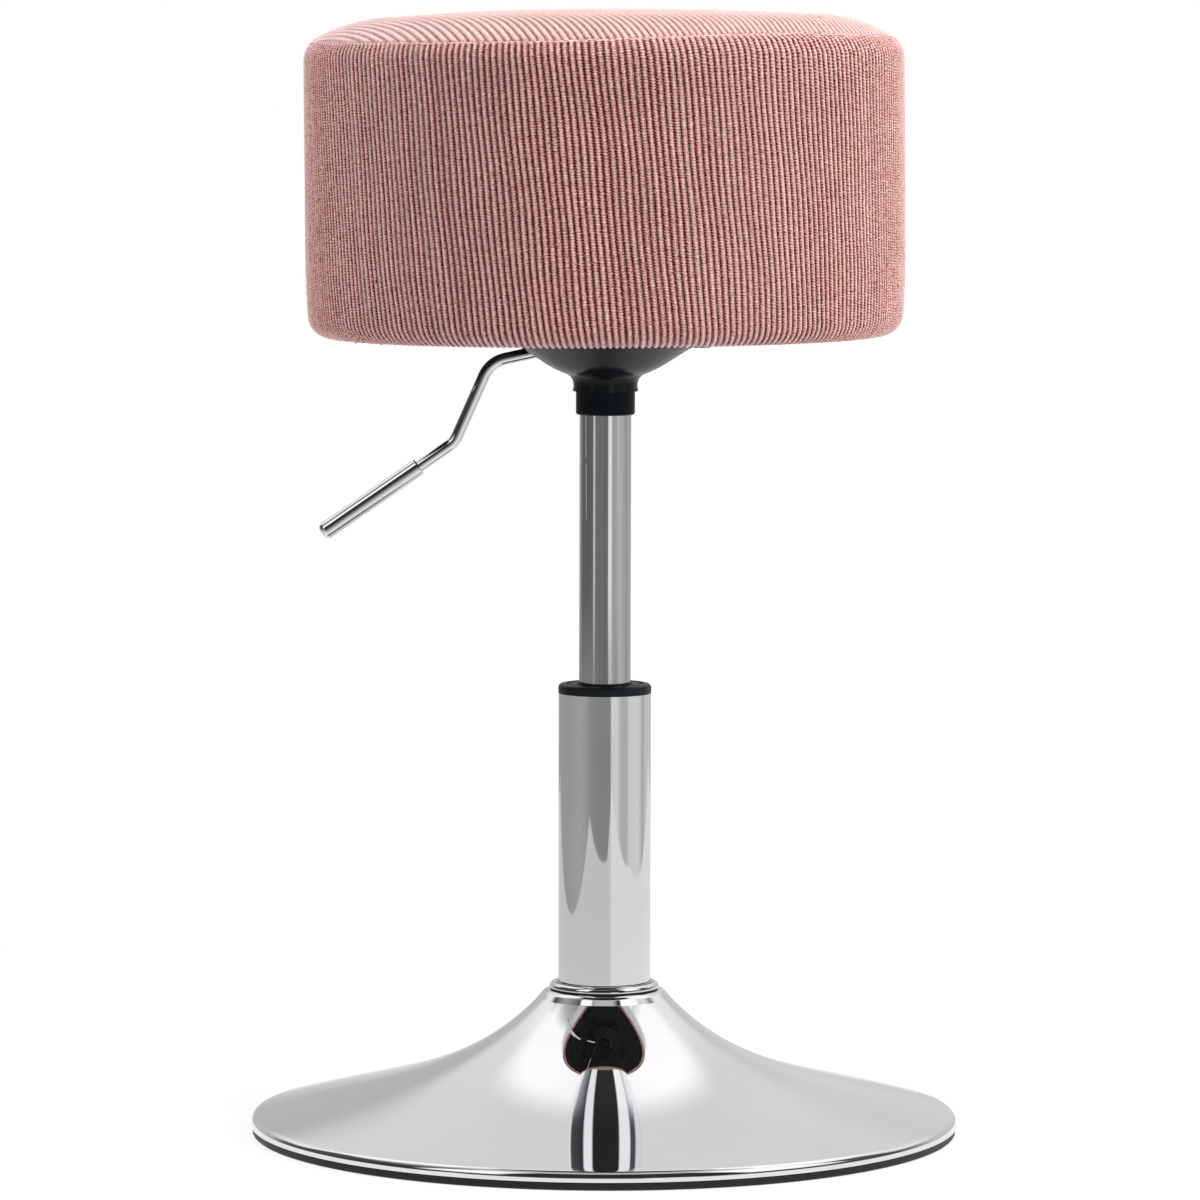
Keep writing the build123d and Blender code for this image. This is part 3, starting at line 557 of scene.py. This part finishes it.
def grid_object(name, points, closed_rows, values, material):
    """A smooth mesh over a grid of points in millimetres that closes on itself across its columns."""
    rows, columns = points.shape[:2]
    index = np.arange(rows * columns).reshape(rows, columns)
    index = np.hstack([index, index[:, :1]])
    if closed_rows:
        index = np.vstack([index, index[:1]])
    quads = np.stack([index[:-1, :-1], index[1:, :-1], index[1:, 1:], index[:-1, 1:]], axis=-1)
    quads = quads.reshape(-1, 4)
    mesh = bpy.data.meshes.new(name)
    mesh.vertices.add(rows * columns)
    mesh.vertices.foreach_set("co", (points * MM).reshape(-1).astype(np.float32))
    mesh.loops.add(quads.size)
    mesh.loops.foreach_set("vertex_index", quads.reshape(-1).astype(np.int32))
    mesh.polygons.add(len(quads))
    mesh.polygons.foreach_set("loop_start", np.arange(0, quads.size, 4, dtype=np.int32))
    mesh.update(calc_edges=True)
    mesh.polygons.foreach_set("use_smooth", np.ones(len(quads), bool))
    for key, value in values.items():
        attribute = mesh.attributes.new(key, "FLOAT", "POINT")
        spread = np.broadcast_to(value, (rows, columns))
        attribute.data.foreach_set("value", spread.reshape(-1).astype(np.float32))
    mesh.validate()
    mesh.materials.append(material)
    piece = bpy.data.objects.new(name, mesh)
    bpy.context.scene.collection.objects.link(piece)
    return piece


# Base: trumpet shell, turned finely enough for its reflections
def shell_face(inset, sweep_steps):
    """A face of the shell from the neck's hole to the lip, inset from the outside."""
    corner = np.array([NECK_FLAT, NECK_HEIGHT - NECK_CORNER])
    roll = np.array([BASE_RADIUS - RIM_ROLL, RIM_CENTRE])
    bend = centre_arc(corner, NECK_CORNER - inset, 90, 90 - CONE_SLOPE, BEND_STEPS)
    cone = bend[-1] + np.outer([CONE_EDGE, CONE_RUN - CONE_EDGE], downhill(CONE_SLOPE))
    rolled = centre_arc(roll, RIM_ROLL - inset, 90 - RIM_SLOPE, 0, ROLL_STEPS)
    start = bend[-1] + CONE_RUN * downhill(CONE_SLOPE)
    end = rolled[0]
    leave = start + (NECK_PULL + inset / 2) * downhill(NECK_SLOPE)
    arrive = end - (RIM_PULL + inset / 2) * downhill(RIM_SLOPE)
    share = np.linspace(0, 1, sweep_steps + 1)[1:-1]
    share = np.concatenate([[0, SWEEP_START], share])[:, None]
    rest = 1 - share
    sweep = rest**3 * start + 3 * rest**2 * share * leave + 3 * rest * share**2 * arrive + share**3 * end
    flat = [(SHELL_HOLE, NECK_HEIGHT - inset), (SHELL_HOLE + CUT_EDGE, NECK_HEIGHT - inset)]
    lip = [(BASE_RADIUS - inset, LIP_BOTTOM + CUT_EDGE), (BASE_RADIUS - inset, LIP_BOTTOM)]
    return np.vstack([flat, bend, cone, sweep, rolled, lip])


def trumpet_shell(material):
    outside = shell_face(0, OUTSIDE_STEPS)
    inside = shell_face(SHELL_WALL, INSIDE_STEPS)
    section = np.vstack([outside, inside[::-1]])
    points = round_points(section[:, :1], even_turns(SHELL_COLUMNS), section[:, 1:])
    return grid_object("trumpet_shell", points, True, {}, material)


# Seat: sections of its cover
def shoulder_section():
    """The crown from the dome's edge out to the seam."""
    edge = (DOME_RADIUS, SEAT_TOP - DOME_DROP)
    seam = (SEAM_RADIUS - SEAM_GAP, SEAM_HEIGHT + SEAM_GAP)
    slope = -2 * DOME_DROP / DOME_RADIUS
    return tangent_arc(edge, seam, (1, slope), 24)


def corner_section():
    """The band from the seam down to the seat's straight side."""
    side = (SEAT_RADIUS, SEAM_HEIGHT - CORNER_RISE)
    return tangent_arc(side, (SEAM_RADIUS, SEAM_HEIGHT), (0, 1), 7)[::-1]


def crown_height(radius):
    """Height of the cover at a radius, from the crown's middle out past the seam to the side."""
    edge = np.vstack([shoulder_section(), corner_section()])
    dome = SEAT_TOP - DOME_DROP * (radius / DOME_RADIUS) ** 2
    return np.where(radius < DOME_RADIUS, dome, np.interp(radius, edge[:, 0], edge[:, 1]))


def crown_section(count):
    """The crown from near its middle out to the seam."""
    radius = np.linspace(1, SEAM_RADIUS - SEAM_GAP, count)
    return np.stack([radius, crown_height(radius)], axis=1)


def band_section():
    """The band's outside from the seam down, under the rolled edge and in to the hem."""
    head = (SEAT_RADIUS, SEAM_HEIGHT - CORNER_RISE)
    foot = (SEAT_RADIUS, SEAT_BOTTOM + DRAW_HEIGHT)
    drawn = (SEAT_RADIUS - SIDE_DRAW, SEAT_BOTTOM + ROLL_RISE)
    roll = (SEAT_RADIUS - ROLL_REACH, SEAT_BOTTOM)
    side = np.linspace(head, foot, 13)[1:-1]
    draw = tangent_arc(foot, drawn, (0, -1), 5)
    under = tangent_arc(drawn, roll, draw[-1] - draw[-2], 9)[1:]
    hem = np.linspace(roll, (HEM_RADIUS, HEM_HEIGHT), 8)[1:]
    return np.vstack([corner_section(), side, draw, under, hem])


def cover_section():
    """The outside from the crown's shoulder to the hem, and how far past the seam's place each point lies."""
    crown = crown_section(60)[30:]
    line = np.vstack([crown, band_section()])
    along = lengths_of(line)
    return line, along - along[len(crown)]


def seam_slide(turn):
    """How far along the section the sewn seam lies above its place, at an angle from the front."""
    away = angle_from(turn, SEAM_RISE_PLACE)
    return SEAM_RISE * np.exp(-((away / radians(SEAM_RISE_WIDTH)) ** 2)) - SEAM_DROP


def sit(points):
    """The seat as it sits: up on the right, drawn in at its top right, with a lower left shoulder."""
    x, y, z = points[..., 0], points[..., 1], points[..., 2]
    rise = z - SEAT_BOTTOM
    tilted = np.maximum(smooth_step(rise, *TILT_RISE), smooth_step(np.hypot(x, y), *TILT_REACH))
    share = tilted * tan(radians(SEAT_TILT))
    high = smooth_step(rise, DRAW_RISE, SEAM_HEIGHT - CORNER_RISE - SEAT_BOTTOM)
    draw = RIGHT_DRAW * high * smooth_step(x, DRAW_SIDE, SEAT_RADIUS)
    shoulder = smooth_step(z, SEAM_HEIGHT, SEAM_HEIGHT + DIP_RISE)
    dip = LEFT_DIP * shoulder * np.exp(-(((x + DIP_SIDE) / DIP_WIDTH) ** 2))
    return np.stack([x - share * rise - draw, y, z + share * x - dip], axis=-1)


# Seat: the cover settles under the foam's pressure, held at the seam and by the staples
def pressed_out(piece, held):
    """Points in millimetres of a piece after some frames of cloth under pressure."""
    group = piece.vertex_groups.new(name="held")
    for index in np.flatnonzero(held):
        group.add([int(index)], float(held.flat[index]), "REPLACE")
    cloth = piece.modifiers.new("settle", "CLOTH")
    cloth.settings.use_pressure = True
    cloth.settings.uniform_pressure_force = PRESSURE
    cloth.settings.bending_stiffness = STIFFNESS
    cloth.settings.effector_weights.gravity = 0.0
    cloth.settings.vertex_group_mass = group.name
    cloth.point_cache.frame_start = 1
    cloth.point_cache.frame_end = SETTLE_FRAMES
    for number in range(1, SETTLE_FRAMES + 1):
        bpy.context.scene.frame_set(number)
    settled = piece.evaluated_get(bpy.context.evaluated_depsgraph_get()).to_mesh()
    points = np.empty(len(settled.vertices) * 3, np.float32)
    settled.vertices.foreach_get("co", points)
    bpy.data.objects.remove(piece)
    bpy.context.scene.frame_set(1)
    return points / MM


def settled_cover(material):
    """Distance along the section of each ring of a coarse cover, and how far its points move out and up.

    The section itself follows the photograph, so only the unevenness round the seat is kept.
    """
    crown = crown_section(CROWN_RINGS)
    section = np.vstack([crown, resample(band_section(), BAND_RINGS)[1:]])
    rings = lengths_of(section)
    shape = (len(section), COVER_COLUMNS)
    stapled = (slice(None), slice(0, COVER_COLUMNS, COVER_COLUMNS // STAPLES))
    underside = np.flatnonzero(section[:, 1] < HEM_HEIGHT)
    pulled_ring = underside[np.argmin(np.abs(section[underside, 0] - PULL_RADIUS))]
    height = np.broadcast_to(section[:, 1:], shape).copy()
    height[stapled][pulled_ring] += random.uniform(*STAPLE_PULL, STAPLES)
    held = np.zeros(shape)
    held[len(crown) - 1] = SEAM_HOLD
    held[stapled][pulled_ring] = 1
    held[-1] = 1
    form = round_points(section[:, :1], even_turns(COVER_COLUMNS), height)
    points = pressed_out(grid_object("cover_form", form, False, {}, material), held).reshape(*shape, 3)
    out = np.hypot(points[..., 0], points[..., 1]) - section[:, :1]
    moves = np.stack([out, points[..., 2] - section[:, 1:]], axis=-1)
    moves -= moves.mean(axis=1, keepdims=True)
    return rings, np.clip(moves, -LARGEST_MOVE, LARGEST_MOVE)


def cover_moves(cover, along, turn):
    """Moves out and up of the settled cover, read between its rings and columns."""
    rings, moves = cover
    along, turn = np.broadcast_arrays(along, turn)
    row = np.interp(along, rings, np.arange(len(rings)))
    column = np.mod(turn, 2 * pi) / (2 * pi) * COVER_COLUMNS
    ring = np.minimum(row.astype(int), len(rings) - 2)
    left = column.astype(int) % COVER_COLUMNS
    right = (left + 1) % COVER_COLUMNS
    down = smooth_step(row - ring, 0, 1)[..., None]
    over = smooth_step(column - np.floor(column), 0, 1)[..., None]
    upper = moves[ring, left] * (1 - over) + moves[ring, right] * over
    lower = moves[ring + 1, left] * (1 - over) + moves[ring + 1, right] * over
    return upper * (1 - down) + lower * down


# Seat: wales
def wale_height(phase):
    """Height of a wale across its width, 0 in the groove and 1 on top."""
    return (0.5 - 0.5 * np.cos(2 * pi * phase)) ** WALE_FULLNESS


def wander(turn, height):
    """How far the wales stray sideways, in millimetres."""
    stray = 0
    for waves, lift in WANDER_WAVES:
        stray = stray + np.sin(waves * turn + lift * height + random.uniform(0, 2 * pi))
    return WALE_WANDER * stray / 2


# Seat side: corduroy band, tucked into the seam and turned under as far as the hem
def seat_band(cover, material):
    line, past_seam = cover_section()
    normals = normals_of(line)

    def read(column, places):
        return np.interp(places, past_seam, column)

    outside = np.concatenate([[0, 0], past_seam[past_seam >= 0]])
    below = np.concatenate([outside, outside[::-LINING_STEP]])[:, None]
    faces_out = (np.arange(len(below)) < len(outside))[:, None]
    tuck = np.zeros((len(below), 1, 2))
    tuck[:2, 0] = SEAM_TUCK
    phase = np.tile(WALE_PHASES, WALES_ROUND)
    wale = np.repeat(np.arange(WALES_ROUND), len(WALE_PHASES))
    turn = 2 * pi * (wale + phase) / WALES_ROUND
    level = np.clip(read(line[:, 1], below), SEAT_BOTTOM, SEAM_HEIGHT)
    lean = tan(radians(SIDE_LEAN)) * (1 - np.exp(-(((turn - pi / 2) / UPRIGHT_WIDTH) ** 2)))
    middle = (SEAM_HEIGHT + SEAT_BOTTOM) / 2
    turn = turn + (lean * (middle - level) + wander(turn, level)) / SEAT_RADIUS
    profile = wale_height(phase) * random.uniform(LOWEST_WALE, 1.0, WALES_ROUND)[wale]
    slide = seam_slide(turn)
    place = below - slide * np.maximum(0, 1 - below / SEAM_EASE)
    crease = CREASE * np.maximum(0, slide / SEAM_RISE) * np.exp(-((place / CREASE_WIDTH) ** 2))
    sunk = WALE_DEPTH * smooth_step(below, 0, WALE_START) * (1 - profile) - crease
    depth = np.where(faces_out, sunk, CLOTH)
    coarse = lengths_of(crown_section(CROWN_RINGS))[-1] + below
    off_board = smooth_step(read(line[:, 0], below), *FREE_REACH)
    free = np.maximum(off_board, level > SEAT_BOTTOM + FREE_RISE) * faces_out
    moves = cover_moves(cover, coarse, turn) * free[..., None] + tuck
    radius = read(line[:, 0], place) - depth * read(normals[:, 0], place) + moves[..., 0]
    height = read(line[:, 1], place) - depth * read(normals[:, 1], place) + moves[..., 1]
    # Painted shade: darker in the grooves and along the seam.
    shade = 1 - (1 - profile) * smooth_step(below, 0, SHADE_START)
    shade = shade * (1 - SEAM_SHADE * (1 - smooth_step(below, 0, SEAM_SHADE_WIDTH)))
    along = below + random.uniform(0, TOOTH_SHIFT, WALES_ROUND)[wale]
    values = {"wale_height": shade, "wale_side": 2 * phase - 1, "wale_along": along * MM}
    return grid_object("seat_band", sit(round_points(radius, turn, height)), True, values, material)


# Seat top: crowned panel with straight wales across it
def seat_top(cover, material):
    reach = SEAM_RADIUS - SEAM_GAP
    wales = int(reach // WALE_PITCH) + 1
    places = [(wale, phase) for wale in range(-wales, wales) for phase in TOP_PHASES]
    places = np.array([place for place in places if abs(sum(place)) * WALE_PITCH < reach - TOP_MARGIN])
    wale = places[:, 0].astype(int) + wales
    phase = places[:, 1]
    across = places.sum(axis=1) * WALE_PITCH
    share = np.sin(np.linspace(-1, 1, TOP_ROWS) * TOP_ROW_SPREAD)[:, None]
    along = share / share[-1] * np.sqrt(reach**2 - across**2)
    flat_radius = np.hypot(across, along)
    from_edge = reach - flat_radius
    turn = radians(TOP_TURN) + np.arctan2(across, -along)
    line, past_seam = cover_section()
    sewn = np.interp(-seam_slide(turn), past_seam, line[:, 0]) - SEAM_RADIUS
    radius = flat_radius + sewn * (1 - smooth_step(from_edge, 0.0, SEAM_EASE))
    profile = wale_height(phase)
    edge = smooth_step(from_edge, 0.0, TOP_EDGE)
    sunk = TOP_WALE_DEPTH * edge * (1 - profile)
    tuck = TOP_TUCK * (1 - smooth_step(from_edge, 0.0, TOP_TUCK_WIDTH))
    slope = crown_height(radius + 0.5) - crown_height(radius - 0.5)
    tilt = 1 / np.sqrt(1 + slope**2)
    crown = crown_section(200)
    moves = cover_moves(cover, np.interp(flat_radius, crown[:, 0], lengths_of(crown)), turn)
    out = radius + sunk * slope * tilt + moves[..., 0] * edge
    height = crown_height(radius) - sunk * tilt - tuck + moves[..., 1]
    # Painted shade in the grooves and at the seam, and a painted sheen that makes the top paler.
    shade = 1 - SEAM_SHADE * (1 - edge) + edge * (TOP_PAINTED_SHEEN - TOP_CONTRAST * (1 - profile))
    start = random.uniform(0, TOOTH_SHIFT, 2 * wales)[wale]
    values = {"wale_height": shade, "wale_side": 2 * phase - 1, "wale_along": (along + start) * MM}
    return grid_object("seat_top", sit(round_points(out, turn, height)), False, values, material)


# Seat underside: dust cloth, stapled over the hem
def dust_cloth(material):
    corners = np.array(
        [
            (DUST_MIDDLE, DUST_LEVEL),
            (DUST_STEP, DUST_LEVEL),
            (DUST_LAP, DUST_LAP_LEVEL),
            (DUST_EDGE, DUST_EDGE_LEVEL),
        ]
    )
    under = resample(corners, DUST_ROWS)
    under[:, 1] += DUST_LIFT * smooth_step(under[:, 0], DUST_EDGE - LIFT_WIDTH, DUST_EDGE)
    section = np.vstack([under, under[::-1] + (0, DUST_CLOTH)])
    turn = even_turns(DUST_COLUMNS)
    radius = section[:, :1]
    between = np.sin(STAPLES / 2 * (turn - pi / 2)) ** 2
    lap = smooth_step(radius, DUST_LAP, SLACK_FULL) * (1 - smooth_step(radius, *SLACK_END))
    hollow = smooth_step(radius, *SAG_START) * (1 - smooth_step(radius, SAG_END, DUST_STEP))
    ripple = 1 + 0.5 * np.sin(5 * turn + 0.3) + 0.4 * np.sin(11 * turn + radius / 9)
    drop = DUST_SLACK * between * lap + DUST_SAG * hollow * ripple
    for place in PUCKERS:
        pucker = np.exp(-((angle_from(turn, place) / PUCKER_WIDTH) ** 2))
        drop = drop + PUCKER_DROP * pucker * smooth_step(radius, DUST_EDGE - PUCKER_REACH, DUST_EDGE)
    fray = 0.4 * np.sin(9 * turn) + 0.3 * np.sin(23 * turn + 1.0)
    radius = radius + fray * smooth_step(radius, DUST_EDGE - FRAY_REACH, DUST_EDGE)
    points = sit(round_points(radius, turn, section[:, 1:] - drop))
    return grid_object("dust_cloth", points, True, {}, material)


# Stage: floor, light and camera
def turned_share(tree, place):
    """Angle round the object of a direction or place, from 0 to 1; 0.5 is its front."""
    parts = add_node(tree, "ShaderNodeSeparateXYZ", {"Vector": place})
    forward = math_node(tree, "MULTIPLY", parts.outputs["Y"], -1.0)
    azimuth = math_node(tree, "ARCTAN2", parts.outputs["X"], forward)
    return math_node(tree, "MULTIPLY_ADD", azimuth, 1 / (2 * pi), 0.5)


def by_azimuth(tree, azimuth, *stops):
    """Grey level round the object, from (degrees, level) stops; 0 is its front and 90 its right."""
    return grey_ramp(tree, azimuth, [((angle + 180) / 360, level) for angle, level in stops])


def plain_view(tree):
    """1 for what is seen straight or through glass, and 1 for what is seen in a reflection."""
    path = add_node(tree, "ShaderNodeLightPath").outputs
    plain = math_node(tree, "MAXIMUM", path["Is Camera Ray"], path["Is Transmission Ray"])
    return plain, path["Is Glossy Ray"]


def floor_material():
    """White where it is seen straight, apart from the shadow; in metal, paler on the right."""
    material = bpy.data.materials.new("floor")
    material.use_nodes = True
    tree = material.node_tree
    tree.nodes.clear()
    plain, glossy = plain_view(tree)
    place = add_node(tree, "ShaderNodeNewGeometry").outputs["Position"]
    away = add_node(tree, "ShaderNodeVectorMath", {0: place}, operation="LENGTH").outputs["Value"]
    azimuth = turned_share(tree, place)
    left = grey_ramp(tree, away, LEFT_FLOOR)
    right = grey_ramp(tree, away, RIGHT_FLOOR)
    mirrored = blend(tree, by_azimuth(tree, azimuth, (15, 0), (17, 1)), left, right)
    behind = by_azimuth(tree, azimuth, (-165, 1), (-150, 0), (150, 0), (165, 1))
    mirrored = blend(tree, behind, mirrored, (*grey(BACK_FLOOR), 1))
    colour = blend(tree, glossy, (*grey(1.0), 1), mirrored)
    lit = add_node(tree, "ShaderNodeBsdfDiffuse", {"Color": (*grey(FLOOR_PAINT), 1)})
    glow = add_node(tree, "ShaderNodeEmission", {"Color": colour, "Strength": 1.0})
    far = grey_ramp(tree, away, SHADOW_FADE, "EASE")
    share = math_node(tree, "MAXIMUM", math_node(tree, "MULTIPLY", plain, far), glossy)
    mixed = add_node(tree, "ShaderNodeMixShader", {0: share, 1: lit.outputs[0], 2: glow.outputs[0]})
    add_node(tree, "ShaderNodeOutputMaterial", {"Surface": mixed.outputs[0]})
    return material


def stage():
    """Pale sheet of floor."""
    mesh = bpy.data.meshes.new("floor")
    mesh.from_pydata([(x, y, FLOOR_LEVEL) for x, y in FLOOR_CORNERS], [], [range(len(FLOOR_CORNERS))])
    mesh.materials.append(floor_material())
    floor = bpy.data.objects.new("floor", mesh)
    bpy.context.scene.collection.objects.link(floor)


def studio_light(tree):
    """What metal sees of the studio: soft boxes with darker gaps between them, in bands of height."""
    place = add_node(tree, "ShaderNodeTexCoord").outputs["Generated"]
    up = add_node(tree, "ShaderNodeSeparateXYZ", {"Vector": place}).outputs["Z"]
    azimuth = turned_share(tree, place)
    below = by_azimuth(
        tree, azimuth,
        (-180, 0.40), (-140, 0.39), (-104, 0.38), (-66, 0.42), (-50, 0.39), (-37, 0.32),
        (-20, 0.28), (14, 0.27), (17, 0.74), (32, 0.76), (42, 0.52), (56, 0.50), (66, 0.74),
        (95, 0.74), (112, 0.45), (120, 0.62), (150, 0.64), (180, 0.40),
    )
    level = by_azimuth(
        tree, azimuth,
        (-180, 0.66), (-168, 0.62), (-162, 0.46), (-150, 0.58), (-136, 0.40), (-122, 0.20),
        (-75, 0.18), (-56, 0.22), (-53, 1.05), (-48, 1.05), (-44, 0.27), (12, 0.27), (15, 1.45),
        (27, 1.45), (31, 0.62), (46, 0.62), (58, 0.82), (70, 0.76), (105, 0.60), (150, 0.62),
        (162, 0.50), (168, 0.66), (180, 0.66),
    )
    low = by_azimuth(
        tree, azimuth,
        (-180, 0.60), (-174, 0.52), (-150, 0.60), (-138, 0.52), (-128, 0.10), (-74, 0.04),
        (40, 0.04), (110, 0.08), (124, 0.30), (136, 0.62), (160, 0.66), (174, 0.72), (180, 0.58),
    )
    middle = by_azimuth(
        tree, azimuth,
        (-180, 0.78), (-152, 0.88), (-136, 1.05), (-126, 1.05), (-118, 0.10), (-67, 0.05),
        (-62, 1.25), (-38, 1.25), (-33, 0.03), (46, 0.03), (51, 1.25), (86, 1.25), (91, 0.10),
        (110, 0.10), (120, 1.00), (140, 0.98), (158, 0.80), (180, 0.78),
    )
    high = by_azimuth(
        tree, azimuth,
        (-180, 1.15), (-165, 1.25), (-120, 1.25), (-106, 0.55), (-67, 0.10), (-62, 1.25),
        (-38, 1.25), (-33, 0.04), (46, 0.04), (51, 1.40), (82, 1.40), (90, 0.80), (104, 1.25),
        (165, 1.25), (180, 1.15),
    )
    # The first step lies just below level, where a ramp has no places, so it is read half a unit up.
    raised = math_node(tree, "ADD", up, 0.5)
    studio = blend(tree, grey_ramp(tree, raised, [(0.400, 0), (0.415, 1)]), below, level)
    studio = blend(tree, grey_ramp(tree, up, [(0.0, 0), (0.10, 1)]), studio, low)
    studio = blend(tree, grey_ramp(tree, up, [(0.28, 0), (0.45, 1)], "EASE"), studio, middle)
    studio = blend(tree, grey_ramp(tree, up, [(0.60, 0), (0.76, 1)], "EASE"), studio, high)
    return blend(tree, grey_ramp(tree, up, [(0.900, 0), (0.912, 1)]), studio, (*grey(CEILING_LEVEL), 1))


def world():
    """White where it is seen straight, the studio to metal, and an even dim light to the rest."""
    studio_world = bpy.data.worlds.new("studio")
    bpy.context.scene.world = studio_world
    studio_world.use_nodes = True
    tree = studio_world.node_tree
    tree.nodes.clear()
    plain, glossy = plain_view(tree)
    seen = blend(tree, glossy, (*grey(ROOM_LEVEL), 1), studio_light(tree))
    colour = blend(tree, plain, seen, (*grey(1.0), 1))
    shown = add_node(tree, "ShaderNodeBackground", {"Color": colour, "Strength": 1.0})
    add_node(tree, "ShaderNodeOutputWorld", {"Surface": shown.outputs[0]})


def soft_box(name, place, size, power):
    """An area lamp aimed at the middle of the object."""
    light = bpy.data.lights.new(name, "AREA")
    light.shape = "RECTANGLE"
    light.size, light.size_y = size
    light.energy = power
    lamp = bpy.data.objects.new(name, light)
    bpy.context.scene.collection.objects.link(lamp)
    aim = Vector((0, 0, AIM_HEIGHT)) - Vector(place)
    lamp.location = place
    lamp.rotation_mode = "QUATERNION"
    lamp.rotation_quaternion = aim.to_track_quat("-Z", "Y")
    lamp.visible_camera = False
    lamp.visible_glossy = False


def lights():
    soft_box("top_box", place=(0.1, -0.1, 2.0), size=(1.6, 1.6), power=42)
    soft_box("right_box", place=(2.0, -1.0, 1.0), size=(0.9, 1.6), power=42)
    soft_box("left_box", place=(-2.0, -0.3, 0.9), size=(0.6, 1.6), power=16)


def camera():
    data = bpy.data.cameras.new("camera")
    data.sensor_width = SENSOR_WIDTH
    data.lens = FOCAL_PIXELS / IMAGE_WIDTH * SENSOR_WIDTH
    data.clip_end = 50
    view = bpy.data.objects.new("camera", data)
    bpy.context.scene.collection.objects.link(view)
    place = Matrix.Translation((CAMERA_SIDE, -CAMERA_DISTANCE, CAMERA_HEIGHT))
    pitch = Matrix.Rotation(radians(90 - CAMERA_PITCH), 4, "X")
    roll = Matrix.Rotation(radians(CAMERA_ROLL), 4, "Z")
    view.matrix_world = place @ pitch @ roll
    bpy.context.scene.camera = view


# The object
def place_piece(piece, body, slot, *nodes):
    """Ties a piece to its body, in place of CAD nodes."""
    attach(piece, body)
    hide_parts(*nodes)


materials = dress_nodes()
cover = settled_cover(materials["corduroy"])
shell = trumpet_shell(materials["chrome"])
band = seat_band(cover, materials["corduroy"])
top = seat_top(cover, materials["corduroy"])
cloth = dust_cloth(materials["dust_cloth"])
place_piece(shell, "base", "chrome", "base_shell")
place_piece(band, "seat", "corduroy", "side_band", "foam_core")
place_piece(top, "seat", "corduroy", "top_panel")
place_piece(cloth, "seat", "dust_cloth", "dust_cover")
stage()
world()
lights()
camera()
bpy.context.scene.view_settings.view_transform = "Standard"
